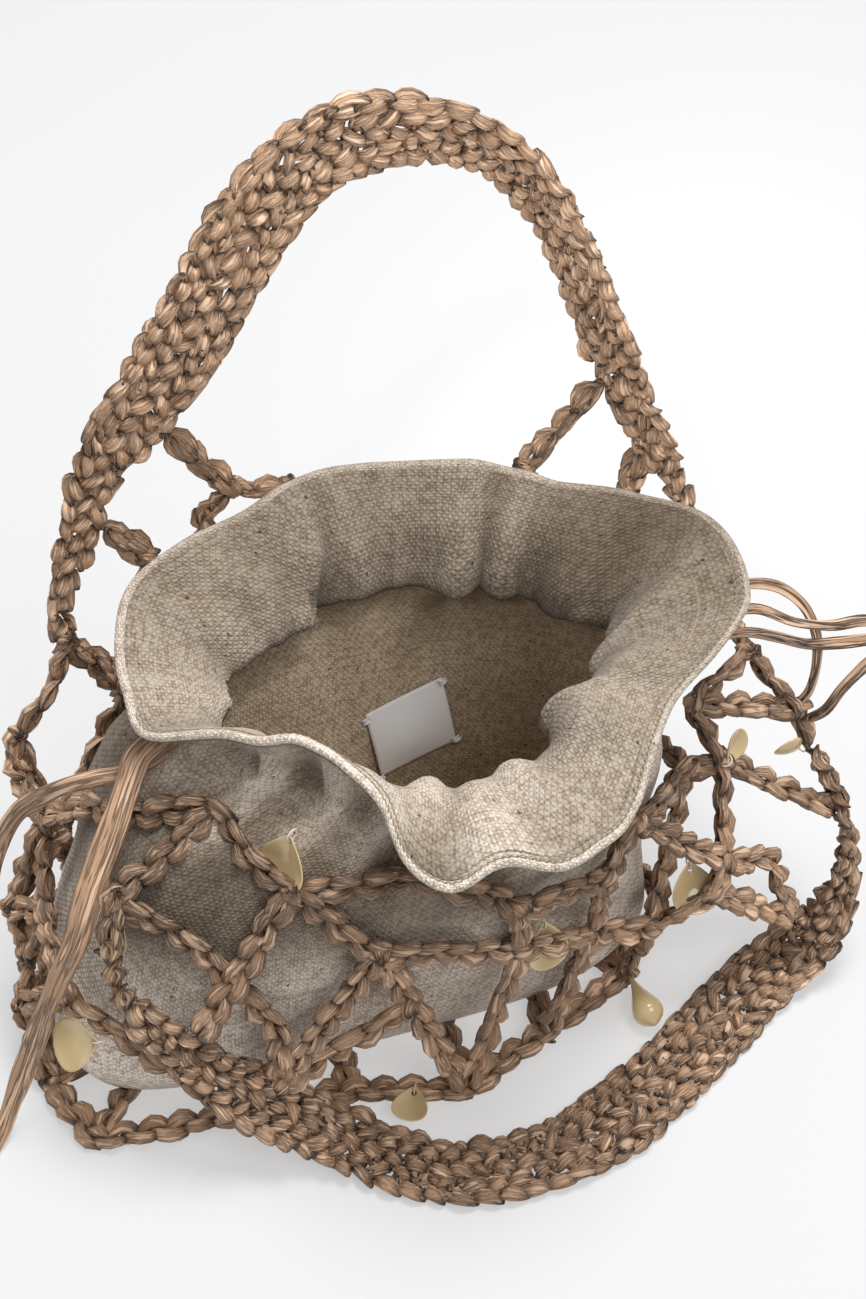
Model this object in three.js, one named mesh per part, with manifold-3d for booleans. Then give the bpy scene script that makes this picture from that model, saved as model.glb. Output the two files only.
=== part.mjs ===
// A linen drawstring pouch that stands in a crocheted raffia net with two handles and shell drops.
// Millimetres, +Z up. +X runs along the pouch, +Y to its back, and the origin lies on the floor,
// under the foundation chain that the net starts from.
import * as THREE from "three";
import { mergeVertices } from "three/addons/utils/BufferGeometryUtils.js";
import Module from "manifold-3d";

const wasm = await Module();
wasm.setup();

// Cloth, cord and clearance sizes
const CLOTH_WALL = 1.6;
const GAP = 0.3;
const CHAIN_RADIUS = 5.4;
const CHAIN_SIDES = 5;
const CHAIN_RINGS = 3;
const CHAIN_SMOOTHING = 0.9;
const CUT_SMOOTHING = 0.2;
const CHAIN_FLOOR_LEVEL = 4.2;
const NET_STANDOFF = 9;
const BOW_STANDOFF = 7;
const BAND_THICKNESS = 8;
const BAND_CORNER = 0.3;
const BAND_END_POINT = 0.5;
const SHELL_THICKNESS = 1.6;
const LABEL_THICKNESS = 0.8;
const WELD = 1e-4;
const GROUND = { side: 900, depth: 40, lift: 0.3 };

// The pouch: sections from the base to the gathered neck, as rounded oblongs
const POUCH_SECTIONS = table(
  ["up", "x", "y", "long", "deep", "square", "turn"],
  [
    [8.6, -36, -2, 152, 62, 4.0, 0],
    [28, -34, -1, 160, 70, 3.6, 0],
    [60, -30, 2, 156, 75, 3.0, 0],
    [100, -20, 8, 150, 81, 2.7, -1],
    [140, -8, 14, 145, 86, 2.5, -3],
    [163, 4, 18, 134, 82, 2.3, -5],
    [178, 15, 20, 116, 73, 2.2, -6],
    [187, 23, 21, 103, 65, 2.1, -6],
  ],
);
const NECK = POUCH_SECTIONS.at(-1);
const BASE = POUCH_SECTIONS[0];
const POUCH_COLUMNS = 64;
const COLUMN_STRETCH = 1.5;
const BASE_INNER_RING = 0.55;

// The flared header's edge, seen from above round the middle of the neck
const HEADER_RIM = table(
  ["around", "reach", "up"],
  [
    [-2, 156, 228],
    [11, 151, 232],
    [21, 130, 236],
    [34, 108, 240],
    [54, 100, 243],
    [74, 95, 245],
    [95, 100, 245],
    [112, 108, 243],
    [129, 116, 238],
    [142, 133, 233],
    [151, 148, 228],
    [165, 152, 222],
    [176, 149, 217],
    [185, 146, 212],
    [196, 116, 219],
    [210, 97, 224],
    [226, 91, 225],
    [240, 104, 216],
    [247, 126, 206],
    [255, 136, 203],
    [267, 130, 206],
    [278, 139, 206],
    [290, 137, 208],
    [305, 124, 211],
    [327, 120, 215],
    [341, 141, 220],
    [350, 153, 225],
  ],
);
const HEADER_ROWS = [0.25, 0.6, 1];
const HEADER_FLARE = 1.3;
const HEADER_RISE = 0.8;
const HEADER_PLEAT_FADE = 1.5;

// Pleats that the drawstring gathers at the neck
const PLEATS = table(
  ["around", "depth", "spread"],
  [
    [20, 12, 7],
    [41, 5, 6],
    [63, 8, 6],
    [88, 5, 6],
    [110, 5, 6],
    [131, 10, 7],
    [152, 9, 7],
    [172, 9, 7],
    [192, 9, 6],
    [210, 9, 6],
    [230, 9, 6],
    [251, 10, 6],
    [282, 8, 7],
    [318, 10, 7],
    [352, 10, 7],
  ],
);
const PLEAT_BULGE = 2;
const PLEAT_DROP = 34;

// Handles: stations along the middle of each band. turn rolls the band about its own run.
const BACK_HANDLE = table(
  ["x", "y", "z", "width", "turn"],
  [
    [-149, 103, 181, 12, 0],
    [-144, 109, 206, 17, 0],
    [-130, 118, 236, 22, 0],
    [-115, 127, 267, 29, 0],
    [-96, 133, 288, 38, 0],
    [-73, 139, 310, 43, 0],
    [-45, 149, 344, 43, 0],
    [-21, 157, 373, 43, 0],
    [7, 164, 395, 43, 4],
    [35, 165, 402, 42, 12],
    [64, 164, 400, 41, 24],
    [91, 161, 388, 40, 40],
    [112, 156, 368, 39, 54],
    [127, 149, 343, 38, 60],
    [139, 140, 311, 38, 60],
    [148, 132, 284, 36, 55],
    [159, 123, 253, 28, 42],
    [172, 115, 225, 23, 26],
    [185, 107, 197, 17, 10],
    [193, 101, 178, 12, 0],
  ],
);
const BACK_HANDLE_FACE = new THREE.Vector3(0, -0.96, 0.28);
const FRONT_HANDLE = table(
  ["x", "y", "z", "width", "turn"],
  [
    [-159, -47, 126, 13, 60],
    [-157, -62, 106, 18, 55],
    [-141, -78, 87, 24, 50],
    [-126, -88, 67, 31, 42],
    [-108, -95, 45, 38, 34],
    [-86, -104, 25, 41, 20],
    [-64, -116, 11, 41, 8],
    [-42, -132, 4.3, 41, 0],
    [-15, -146, 4.3, 41, 0],
    [9, -151, 4.3, 41, 0],
    [37, -150, 4.3, 41, 0],
    [66, -143, 4.3, 42, 0],
    [98, -129, 4.3, 43, 0],
    [133, -110, 4.3, 43, 0],
    [167, -91, 6, 43, 4],
    [197, -80, 14, 39, 14],
    [216, -76, 36, 31, 34],
    [226, -65, 66, 23, 50],
    [225, -50, 96, 17, 60],
    [212, -31, 126, 12, 64],
  ],
);
const FRONT_HANDLE_FACE = new THREE.Vector3(0, 0, 1);

// The net's knots that show. hand_* and back_* knots lie where a chain joins a handle.
const NET_KNOTS = table(
  ["name", "x", "y", "z"],
  [
    ["left_arch", -96, -18, 176],
    ["front_a", -71, -62, 160],
    ["front_b", -36, -82, 122],
    ["front_c", 36, -83, 94],
    ["front_d", 78, -76, 80],
    ["front_e", 112, -73, 66],
    ["front_f", 143, -75, 85],
    ["under_rim_a", -22, -72, 163],
    ["under_rim_b", 18, -80, 146],
    ["under_rim_c", 34, -82, 130],
    ["under_rim_d", 81, -75, 127],
    ["under_rim_e", 98, -66, 150],
    ["low_a", -22, -86, 74],
    ["dark_a", -119, -62, 134],
    ["dark_b", -102, -75, 108],
    ["dark_c", -88, -84, 78],
    ["right_a", 150, -11, 160],
    ["right_b", 160, -32, 135],
    ["right_c", 152, -65, 97],
    ["right_d", 143, -28, 132],
    ["right_top", 186, 7, 170],
    ["right_back", 190, 56, 164],
    ["left_top_a", -160, 89, 165],
    ["left_top_b", -181, 79, 148],
    ["left_top_c", -186, 70, 136],
    ["left_knot", -177, 42, 125],
    ["left_fork", -152, 22, 150],
    ["left_a", -186, 8, 92],
    ["left_b", -203, 26, 80],
    ["left_c", -200, 8, 62],
    ["left_d", -208, -6, 38],
    ["left_e", -184, -38, 86],
    ["floor_left_a", -204, -36, 4.2],
    ["floor_left_b", -186, -74, 4.2],
    ["floor_left_c", -158, -78, 4.2],
    ["floor_front_a", -56, -86, 4.2],
    ["floor_front_b", 3, -101, 4.2],
    ["floor_front_c", 54, -82, 4.2],
    ["floor_front_d", 106, -62, 4.2],
    ["hand_left_a", -150, -34, 148],
    ["hand_left_b", -159, -47, 126],
    ["hand_left_c", -128, -82, 88],
    ["hand_left_d", -92, -92, 42],
    ["hand_left_low", -143, -78, 58],
    ["hand_right_a", 206, -18, 146],
    ["hand_right_b", 212, -31, 126],
    ["hand_right_c", 222, -52, 94],
    ["hand_right_tab", 182, -60, 78],
    ["hand_right_d", 197, -74, 36],
    ["back_left_a", -146, 101, 184],
    ["back_left_b", -118, 121, 240],
    ["back_left_c", -80, 131, 282],
    ["back_left_fork", -50, 128, 240],
    ["back_left_dip", -68, 124, 226],
    ["back_left_low", -98, 118, 216],
    ["back_left_side", -124, 95, 152],
    ["back_mid_left", -22, 130, 232],
    ["back_mid_right", 104, 124, 216],
    ["back_right_dip", 160, 114, 194],
    ["back_right_a", 144, 128, 262],
    ["back_right_b", 166, 116, 222],
    ["back_right_c", 193, 101, 178],
  ],
);

// Chains, each through its knots in turn
const NET_CHAINS = [
  "left_knot left_fork left_arch front_a front_b front_c front_d front_e front_f right_c",
  "left_arch hand_left_a hand_left_b",
  "front_a under_rim_a under_rim_b under_rim_c under_rim_d under_rim_e right_c",
  "front_a hand_left_c",
  "front_b hand_left_d",
  "front_b low_a floor_front_b",
  "low_a hand_left_d",
  "hand_left_a dark_a dark_b dark_c hand_left_d",
  "front_c floor_front_b",
  "front_c under_rim_c",
  "front_d floor_front_c",
  "front_d under_rim_d",
  "front_e floor_front_d",
  "front_e right_d",
  "front_f hand_right_d",
  "right_c hand_right_tab hand_right_d",
  "right_top right_a right_b right_c",
  "right_a hand_right_a",
  "right_b hand_right_c",
  "right_b right_d under_rim_e",
  "right_top hand_right_a hand_right_b",
  "right_top right_back back_right_c",
  "back_left_a left_top_a left_top_b left_top_c left_knot left_a left_e hand_left_low",
  "left_knot left_b left_a",
  "left_b left_c left_d floor_left_a",
  "left_a left_c",
  "left_e left_d",
  "floor_left_a floor_left_b floor_left_c floor_front_a floor_front_b floor_front_c floor_front_d",
  "back_left_a back_left_side",
  "back_left_b back_left_low",
  "back_left_c back_left_fork back_mid_left",
  "back_left_fork back_left_dip",
  "back_right_a back_mid_right",
  "back_right_b back_right_dip",
];

// The unseen back of the net: staggered rows of knots round the pouch
const BACK_ROWS = table(
  ["name", "up", "from", "to", "count"],
  [
    ["upper", 150, 34, 150, 5],
    ["middle", 96, 12, 164, 6],
    ["lower", 46, 30, 154, 5],
    ["floor", CHAIN_FLOOR_LEVEL, 8, 168, 6],
  ],
);
const BACK_LINKS = [
  "back_left_side upper_4",
  "back_left_low upper_4",
  "back_left_dip upper_3",
  "back_mid_left upper_2",
  "back_mid_right upper_1",
  "back_right_dip upper_0",
  "right_back upper_0",
  "left_top_b middle_5",
  "left_b middle_5",
  "right_d middle_0",
  "left_d floor_5",
  "floor_left_a floor_5",
  "front_e floor_0",
  "floor_front_d floor_0",
];
const FOUNDATION = { from: -130, to: 70, y: 0, width: 12, height: 7.9, bevel: 2.4, spokeInset: 8 };
const FOUNDATION_SPOKES =
  "floor_left_a floor_left_b floor_front_a floor_front_b floor_front_c floor_front_d " +
  "floor_0 floor_1 floor_2 floor_3 floor_4 floor_5";

// Raffia drawstring ends: routes from the neck outwards
const TIES = [
  {
    name: "drawstring_left_broad",
    width: 15,
    thickness: 2.4,
    face: [-0.2, -0.65, 0.73],
    route: [
      [-64, 32, 189],
      [-86, 30, 189],
      [-107, 27, 187],
      [-124, 20, 183],
      [-133, 8, 178],
      [-143, -7, 170],
      [-154, -19, 158],
      [-164, -31, 146],
      [-174, -40, 128],
      [-185, -43, 108],
      [-194, -44, 88],
      [-203, -45, 66],
      [-213, -47, 43],
      [-223, -51, 22],
      [-231, -56, 7],
    ],
  },
  {
    name: "drawstring_left_narrow",
    width: 9,
    thickness: 2.4,
    face: [0, -0.64, 0.77],
    route: [
      [-64, 40, 183],
      [-84, 37, 181],
      [-106, 28, 178],
      [-130, 18, 175],
      [-148, 19, 174],
      [-162, 25, 166],
      [-175, 33, 152],
      [-187, 39, 138],
      [-197, 40, 122],
      [-205, 38, 104],
      [-211, 35, 86],
    ],
  },
  {
    name: "drawstring_right_arc",
    width: 6,
    thickness: 2,
    face: [0, -0.64, 0.77],
    route: [
      [108, 24, 190],
      [130, 26, 192],
      [152, 28, 194],
      [174, 29, 196],
      [194, 27, 197],
      [207, 22, 195],
      [217, 12, 188],
      [220, 0, 178],
      [217, -10, 168],
      [211, -18, 158],
      [205, -19, 149],
    ],
  },
  {
    name: "drawstring_right_loop",
    width: 6,
    thickness: 2,
    face: [0, -0.64, 0.77],
    route: [
      [108, 10, 188],
      [130, 13, 189],
      [152, 16, 190],
      [174, 17, 191],
      [192, 15, 191],
      [207, 3, 189],
      [224, -4, 188],
      [243, -6, 188],
      [253, -11, 185],
      [249, -19, 179],
      [235, -24, 174],
      [221, -30, 168],
      [213, -33, 159],
      [208, -28, 148],
    ],
  },
  {
    name: "drawstring_right_end",
    width: 6,
    thickness: 2,
    face: [0, -0.64, 0.77],
    route: [
      [108, -4, 186],
      [130, -2, 186],
      [152, 3, 186],
      [170, 7, 186],
      [185, 6, 185],
      [197, 0, 184],
      [210, -8, 183],
      [226, -12, 183],
      [246, -14, 182],
    ],
  },
];
const TIE_SIDES = 8;

// Shell drops: the middle of each petal, the way its length points from the drilled tip, and its roll
const SHELLS = table(
  ["x", "y", "z", "length", "width", "dish", "heading", "pitch", "roll"],
  [
    [-182, -55.5, 68, 29, 27, 4, 150, -28, 0],
    [-77, -57, 161, 33, 22, 4, 216, -44, 0],
    [50, -82, 86, 30, 23, 4, 278, -52, 0],
    [139, -66, 82, 25, 22, 4, 300, -30, 0],
    [-28, -104, 6, 22, 19, 3, 240, 4, 0],
    [166, -28, 141, 20, 17, 3, 40, 20, 70],
    [200.4, -32, 129.8, 20, 16, 3, 200, 30, 70],
    [-153.4, -37.4, 127.4, 24, 20, 3, 215, -60, 0],
  ],
);
const PETAL_SIDES = 10;
const PETAL_RINGS = { inner: 0.5, outer: 0.9 };
const PETAL_FULLNESS = 1.3;
const TEARDROP = { x: 108, y: -66, z: 9.4, length: 30, radius: 8, heading: 273, pitch: 0 };
const TEARDROP_SIDES = 12;
const TEARDROP_ROWS = [0.04, 0.18, 0.38, 0.6, 0.78, 0.9, 0.97];
const TEARDROP_SWELL = { low: 1.9, round: 0.9, tip: 0.8 };

// The bare satin label inside the back wall
const LABEL = { x: 22, up: 77, width: 47, height: 42, tilt: 20, bulge: 3, sideBulge: 0.4, cells: 6 };

const RAFFIA_COLOUR = "#96765c";
const LINEN_COLOUR = "#c8bda8";
const SHELL_COLOUR = "#d8c898";
const SATIN_COLOUR = "#b9b6b3";

// A table's rows as objects with named columns.
function table(columns, rows) {
  return rows.map((row) => Object.fromEntries(columns.map((name, i) => [name, row[i]])));
}

const radians = THREE.MathUtils.degToRad;
const lerp = THREE.MathUtils.lerp;
const point = (p) => new THREE.Vector3(p.x, p.y, p.z);

// A smooth value round a closed table, such as the rim's reach at an angle in degrees.
function roundTable(rows, column, degrees) {
  const n = rows.length;
  const at = (i) => rows[(i + n) % n][column];
  const angle = (i) => rows[(i + n) % n].around + 360 * Math.floor(i / n);
  const turned = degrees - 360 * Math.floor((degrees - rows[0].around) / 360);
  let i = 0;
  while (i < n - 1 && angle(i + 1) <= turned) i += 1;
  const span = angle(i + 1) - angle(i);
  const t = (turned - angle(i)) / span;
  const slope = (k) => ((at(k + 1) - at(k - 1)) / (angle(k + 1) - angle(k - 1))) * span;
  const [a, b] = [at(i), at(i + 1)];
  const bend = (3 * (b - a) - 2 * slope(i) - slope(i + 1)) * t * t;
  const close = (2 * (a - b) + slope(i) + slope(i + 1)) * t * t * t;
  return a + slope(i) * t + bend + close;
}

// How far the pleats pull the cloth in at an angle, and let it out between them.
function pleatDepth(angle) {
  const degrees = THREE.MathUtils.radToDeg(angle);
  const pulls = PLEATS.map((p) => {
    const away = THREE.MathUtils.euclideanModulo(degrees - p.around + 180, 360) - 180;
    return p.depth * Math.exp(-((away / p.spread) ** 2));
  });
  return Math.max(...pulls) - PLEAT_BULGE;
}

// A pouch section at any height, read between the two rows around it.
function sectionAt(up) {
  const last = POUCH_SECTIONS.length - 1;
  const upper = Math.max(1, POUCH_SECTIONS.findIndex((s, i) => s.up >= up || i === last));
  const [low, high] = [POUCH_SECTIONS[upper - 1], POUCH_SECTIONS[upper]];
  const t = THREE.MathUtils.clamp((up - low.up) / (high.up - low.up), 0, 1);
  return Object.fromEntries(Object.keys(low).map((key) => [key, lerp(low[key], high[key], t)]));
}

// A point of the pouch wall at a section and an angle, moved out by a distance.
function wallPoint(section, angle, out = 0, size = 1) {
  const a = angle - radians(section.turn);
  const across = Math.abs(Math.cos(a) / section.long) ** section.square;
  const along = Math.abs(Math.sin(a) / section.deep) ** section.square;
  const reach = size * (across + along) ** (-1 / section.square) + out;
  return new THREE.Vector3(
    section.x + reach * Math.cos(angle),
    section.y + reach * Math.sin(angle),
    section.up,
  );
}

// A closed solid from rings of points, with a pole at each end.
function closedLoft(rings, startPole, endPole) {
  const count = rings[0].length;
  const points = [startPole, ...rings.flat(), endPole];
  const at = (ring, j) => 1 + ring * count + (j % count);
  const faces = [];
  for (let j = 0; j < count; j += 1) {
    faces.push([0, at(0, j + 1), at(0, j)]);
    faces.push([points.length - 1, at(rings.length - 1, j), at(rings.length - 1, j + 1)]);
    for (let i = 0; i < rings.length - 1; i += 1) {
      faces.push([at(i, j), at(i, j + 1), at(i + 1, j)]);
      faces.push([at(i, j + 1), at(i + 1, j + 1), at(i + 1, j)]);
    }
  }
  const geometry = new THREE.BufferGeometry();
  geometry.setAttribute(
    "position",
    new THREE.Float32BufferAttribute(points.flatMap((p) => p.toArray()), 3),
  );
  geometry.setIndex(faces.flat());
  return geometry;
}

// A manifold solid from a closed geometry, turned right side out.
function solidOf(geometry) {
  const bare = geometry.clone();
  bare.deleteAttribute("normal");
  bare.deleteAttribute("uv");
  const merged = mergeVertices(bare, WELD);
  const triVerts = new Uint32Array(merged.index.array);
  const make = () =>
    new wasm.Manifold(
      new wasm.Mesh({
        numProp: 3,
        vertProperties: merged.attributes.position.array,
        triVerts,
      }),
    );
  const solid = make();
  if (solid.volume() > 0) return solid;
  for (let i = 0; i < triVerts.length; i += 3)
    [triVerts[i + 1], triVerts[i + 2]] = [triVerts[i + 2], triVerts[i + 1]];
  return make();
}

function geometryOf(solid) {
  const mesh = solid.getMesh();
  const geometry = new THREE.BufferGeometry();
  geometry.setAttribute("position", new THREE.BufferAttribute(mesh.vertProperties, 3));
  geometry.setIndex(new THREE.BufferAttribute(mesh.triVerts, 1));
  return geometry;
}

const joined = (solids) => solids.reduce((all, solid) => all.add(solid));

// A joint may leave crumbs where a neighbour's clearance cuts through: the body is the largest piece.
function mainBody(solid) {
  const bodies = solid.decompose();
  return bodies.reduce((best, body) => (body.volume() > best.volume() ? body : best));
}

// A tube of an n-sided section along a curve. A ribbon's flat side looks along face all the way;
// without one the section is carried along unturned.
function tube(curve, rings, { width, thickness, sides, face }) {
  const section = Array.from({ length: sides }, (_, i) => {
    const angle = (2 * Math.PI * (i + 0.5)) / sides;
    return [(width / 2) * Math.cos(angle), (thickness / 2) * Math.sin(angle)];
  });
  const points = curve.getPoints(rings);
  const side = new THREE.Vector3(1, 1, 1);
  const loops = points.map((p, i) => {
    const run = curve.getTangent(i / rings);
    if (face) side.crossVectors(face, run);
    side.addScaledVector(run, -side.dot(run)).normalize();
    const out = new THREE.Vector3().crossVectors(run, side);
    return section.map(([u, v]) => p.clone().addScaledVector(side, u).addScaledVector(out, v));
  });
  return solidOf(closedLoft(loops, points[0], points.at(-1)));
}

const smoothCurve = (stops) => new THREE.CatmullRomCurve3(stops, false, "centripetal");

// Rings of the pouch's outside, from the base to the header's rim.
function pouchRings() {
  const angles = Array.from({ length: POUCH_COLUMNS }, (_, j) => {
    const t = (2 * Math.PI * j) / POUCH_COLUMNS;
    return Math.atan2(Math.sin(t), COLUMN_STRETCH * Math.cos(t));
  });
  const baseRing = angles.map((angle) => wallPoint(BASE, angle, 0, BASE_INNER_RING));
  const bodyRings = POUCH_SECTIONS.map((section) => {
    const gather = Math.exp(-(NECK.up - section.up) / PLEAT_DROP);
    const settled = section.up > POUCH_SECTIONS[1].up ? gather : 0;
    return angles.map((angle) => wallPoint(section, angle, -settled * pleatDepth(angle)));
  });
  const headerRings = HEADER_ROWS.map((t) =>
    angles.map((angle) => {
      const degrees = THREE.MathUtils.radToDeg(angle);
      const neck = wallPoint(NECK, angle);
      const neckReach = Math.hypot(neck.x - NECK.x, neck.y - NECK.y);
      const rimReach = roundTable(HEADER_RIM, "reach", degrees);
      const rimUp = roundTable(HEADER_RIM, "up", degrees);
      const pull = pleatDepth(angle) * (1 - t) ** HEADER_PLEAT_FADE;
      const reach = lerp(neckReach, rimReach, t ** HEADER_FLARE) - pull;
      return new THREE.Vector3(
        NECK.x + reach * Math.cos(angle),
        NECK.y + reach * Math.sin(angle),
        lerp(NECK.up, rimUp, t ** HEADER_RISE),
      );
    }),
  );
  return [baseRing, ...bodyRings, ...headerRings];
}

// The same rings moved along their own normals.
function movedRings(rings, distance) {
  const count = rings[0].length;
  return rings.map((ring, i) =>
    ring.map((p, j) => {
      const around = ring[(j + 1) % count].clone().sub(ring[(j + count - 1) % count]);
      const upper = rings[Math.min(i + 1, rings.length - 1)][j];
      const lower = rings[Math.max(i - 1, 0)][j];
      const normal = around.cross(upper.clone().sub(lower)).normalize();
      return p.clone().addScaledVector(normal, distance);
    }),
  );
}

const basePole = (lift) => new THREE.Vector3(BASE.x, BASE.y, BASE.up + lift);

function pouchShell(outside) {
  const inside = movedRings(outside, -CLOTH_WALL).reverse();
  return closedLoft([...outside, ...inside], basePole(0), basePole(CLOTH_WALL));
}

// The pouch and all it holds, as one solid a gap larger, to clear the net.
function pouchClearance(outside) {
  const mouthPole = new THREE.Vector3(NECK.x, NECK.y, HEADER_RIM[0].up);
  return solidOf(closedLoft(movedRings(outside, GAP), basePole(-GAP), mouthPole));
}

// A handle's band: an eight-sided flat section along its stations, grown by a clearance.
function band(stations, face, clearance = 0) {
  const curve = smoothCurve(stations.map(point));
  const thickness = BAND_THICKNESS + 2 * clearance;
  const rings = stations.map((station, i) => {
    const t = i / (stations.length - 1);
    const width = station.width + 2 * clearance;
    const run = curve.getTangent(t);
    const across = new THREE.Vector3().crossVectors(face, run).normalize();
    across.applyAxisAngle(run, radians(station.turn));
    const out = new THREE.Vector3().crossVectors(run, across);
    const corner = BAND_CORNER * Math.min(width, thickness);
    const [w, h] = [width / 2, thickness / 2];
    const section = [
      [w, h - corner],
      [w - corner, h],
      [corner - w, h],
      [-w, h - corner],
      [-w, corner - h],
      [corner - w, -h],
      [w - corner, -h],
      [w, corner - h],
    ];
    return section.map(([u, v]) =>
      point(station).addScaledVector(across, u).addScaledVector(out, v),
    );
  });
  const tip = BAND_END_POINT + clearance;
  const startPole = curve.getPoint(0).addScaledVector(curve.getTangent(0), -tip);
  const endPole = curve.getPoint(1).addScaledVector(curve.getTangent(1), tip);
  return solidOf(closedLoft(rings, startPole, endPole));
}

// Knots by name: those that show, and the staggered rows at the back.
function netKnots() {
  const knots = new Map(NET_KNOTS.map((k) => [k.name, point(k)]));
  for (const row of BACK_ROWS)
    for (let i = 0; i < row.count; i += 1) {
      const angle = radians(lerp(row.from, row.to, i / (row.count - 1)));
      const knot = wallPoint(sectionAt(Math.max(row.up, BASE.up)), angle, NET_STANDOFF);
      knots.set(row.name + "_" + i, knot.setZ(row.up));
    }
  return knots;
}

// Every chain as a list of knot names: the ones that show, the back rows' zigzags and their links.
function netChains() {
  const chains = [...NET_CHAINS, ...BACK_LINKS].map((chain) => chain.split(" "));
  for (let r = 0; r < BACK_ROWS.length - 1; r += 1) {
    const [few, many] = [BACK_ROWS[r], BACK_ROWS[r + 1]].sort((a, b) => a.count - b.count);
    for (let i = 0; i < few.count; i += 1)
      chains.push([many.name + "_" + i, few.name + "_" + i, many.name + "_" + (i + 1)]);
  }
  const floor = BACK_ROWS.at(-1);
  chains.push(Array.from({ length: floor.count }, (_, i) => floor.name + "_" + i));
  return chains;
}

// A point between two knots, pushed out where the pouch would be in its way.
function clearOfPouch(p) {
  const section = sectionAt(THREE.MathUtils.clamp(p.z, BASE.up, NECK.up));
  const [dx, dy] = [p.x - section.x, p.y - section.y];
  const wall = wallPoint(section, Math.atan2(dy, dx), BOW_STANDOFF);
  const wanted = Math.hypot(wall.x - section.x, wall.y - section.y);
  const scale = p.z > NECK.up ? 1 : Math.max(1, wanted / Math.hypot(dx, dy));
  return new THREE.Vector3(section.x + dx * scale, section.y + dy * scale, p.z);
}

// One chain through its stops, bowed clear of the pouch between them.
function chainTube(stops, free = false) {
  const bowed = (a, b) => {
    const middle = a.clone().lerp(b, 0.5);
    return free ? middle : clearOfPouch(middle);
  };
  const route = stops.slice(1).flatMap((stop, i) => [bowed(stops[i], stop), stop]);
  const across = 2 * CHAIN_RADIUS;
  return tube(smoothCurve([stops[0], ...route]), CHAIN_RINGS * (stops.length - 1), {
    width: across,
    thickness: across,
    sides: CHAIN_SIDES,
  });
}

// The foundation chain: a flat-bottomed bar along X.
function foundationBar() {
  const { from, to, y, width, height, bevel } = FOUNDATION;
  const w = width / 2;
  const outline = [
    [-w, 0],
    [w, 0],
    [w, height - bevel],
    [w - bevel, height],
    [bevel - w, height],
    [-w, height - bevel],
  ].map(([u, v]) => new THREE.Vector2(u, v));
  const bar = new THREE.ExtrudeGeometry(new THREE.Shape(outline), {
    depth: to - from,
    bevelEnabled: false,
  });
  bar.rotateX(Math.PI / 2);
  bar.rotateZ(Math.PI / 2);
  return solidOf(bar.translate(from, y, 0));
}

function raffiaNet(clearances) {
  const knots = netKnots();
  const solids = [];
  for (const chain of netChains()) solids.push(chainTube(chain.map((name) => knots.get(name))));
  for (const name of FOUNDATION_SPOKES.split(" ")) {
    const knot = knots.get(name);
    const { from, to, spokeInset } = FOUNDATION;
    const foot = THREE.MathUtils.clamp(knot.x, from + spokeInset, to - spokeInset);
    const start = new THREE.Vector3(foot, FOUNDATION.y, CHAIN_FLOOR_LEVEL);
    solids.push(chainTube([start, knot], true));
  }
  const ground = new THREE.BoxGeometry(GROUND.side, GROUND.side, GROUND.depth);
  ground.translate(0, 0, GROUND.lift - GROUND.depth / 2);
  const chains = joined(solids).asOriginal().simplify(CHAIN_SMOOTHING);
  const whole = joined([chains.subtract(solidOf(ground)), foundationBar()]);
  const clear = clearances.reduce((net, tool) => net.subtract(tool), whole);
  return mainBody(clear).asOriginal().simplify(CUT_SMOOTHING);
}

// A dished petal with its middle at the origin and its drilled tip at the -X end.
function petal(row, clearance = 0) {
  const half = SHELL_THICKNESS / 2 + clearance;
  const outline = Array.from({ length: PETAL_SIDES }, (_, i) => {
    const angle = (2 * Math.PI * i) / PETAL_SIDES;
    const swell = PETAL_FULLNESS * Math.sin(angle / 2);
    return [
      -(row.length / 2 + clearance) * Math.cos(angle),
      -(row.width / 2) * Math.sin(angle) * swell - clearance * Math.sin(angle),
    ];
  });
  const ring = (size, lift) =>
    outline.map(([u, v]) => new THREE.Vector3(u * size, v * size, lift + row.dish * size * size));
  const { inner, outer } = PETAL_RINGS;
  const rings = [
    ring(inner, half),
    ring(outer, half),
    ring(1, 0),
    ring(outer, -half),
    ring(inner, -half),
  ];
  const geometry = closedLoft(
    rings,
    new THREE.Vector3(0, 0, half),
    new THREE.Vector3(0, 0, -half),
  );
  return placed(geometry, row);
}

// A teardrop with its tip at the origin and its length along +X.
function teardrop(row, clearance = 0) {
  const rings = TEARDROP_ROWS.map((t) => {
    const swell = Math.sin(Math.PI * t ** TEARDROP_SWELL.low) ** TEARDROP_SWELL.round;
    const radius = row.radius * swell + TEARDROP_SWELL.tip + clearance;
    return Array.from({ length: TEARDROP_SIDES }, (_, i) => {
      const angle = (2 * Math.PI * i) / TEARDROP_SIDES;
      return new THREE.Vector3(
        row.length * t,
        radius * Math.cos(angle),
        radius * Math.sin(angle),
      );
    });
  });
  const start = new THREE.Vector3(-clearance, 0, 0);
  const end = new THREE.Vector3(row.length + clearance, 0, 0);
  return placed(closedLoft(rings, start, end), row);
}

function placed(geometry, row) {
  geometry.rotateX(radians(row.roll ?? 0));
  geometry.rotateY(radians(-row.pitch));
  geometry.rotateZ(radians(row.heading));
  return solidOf(geometry.translate(row.x, row.y, row.z));
}

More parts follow.
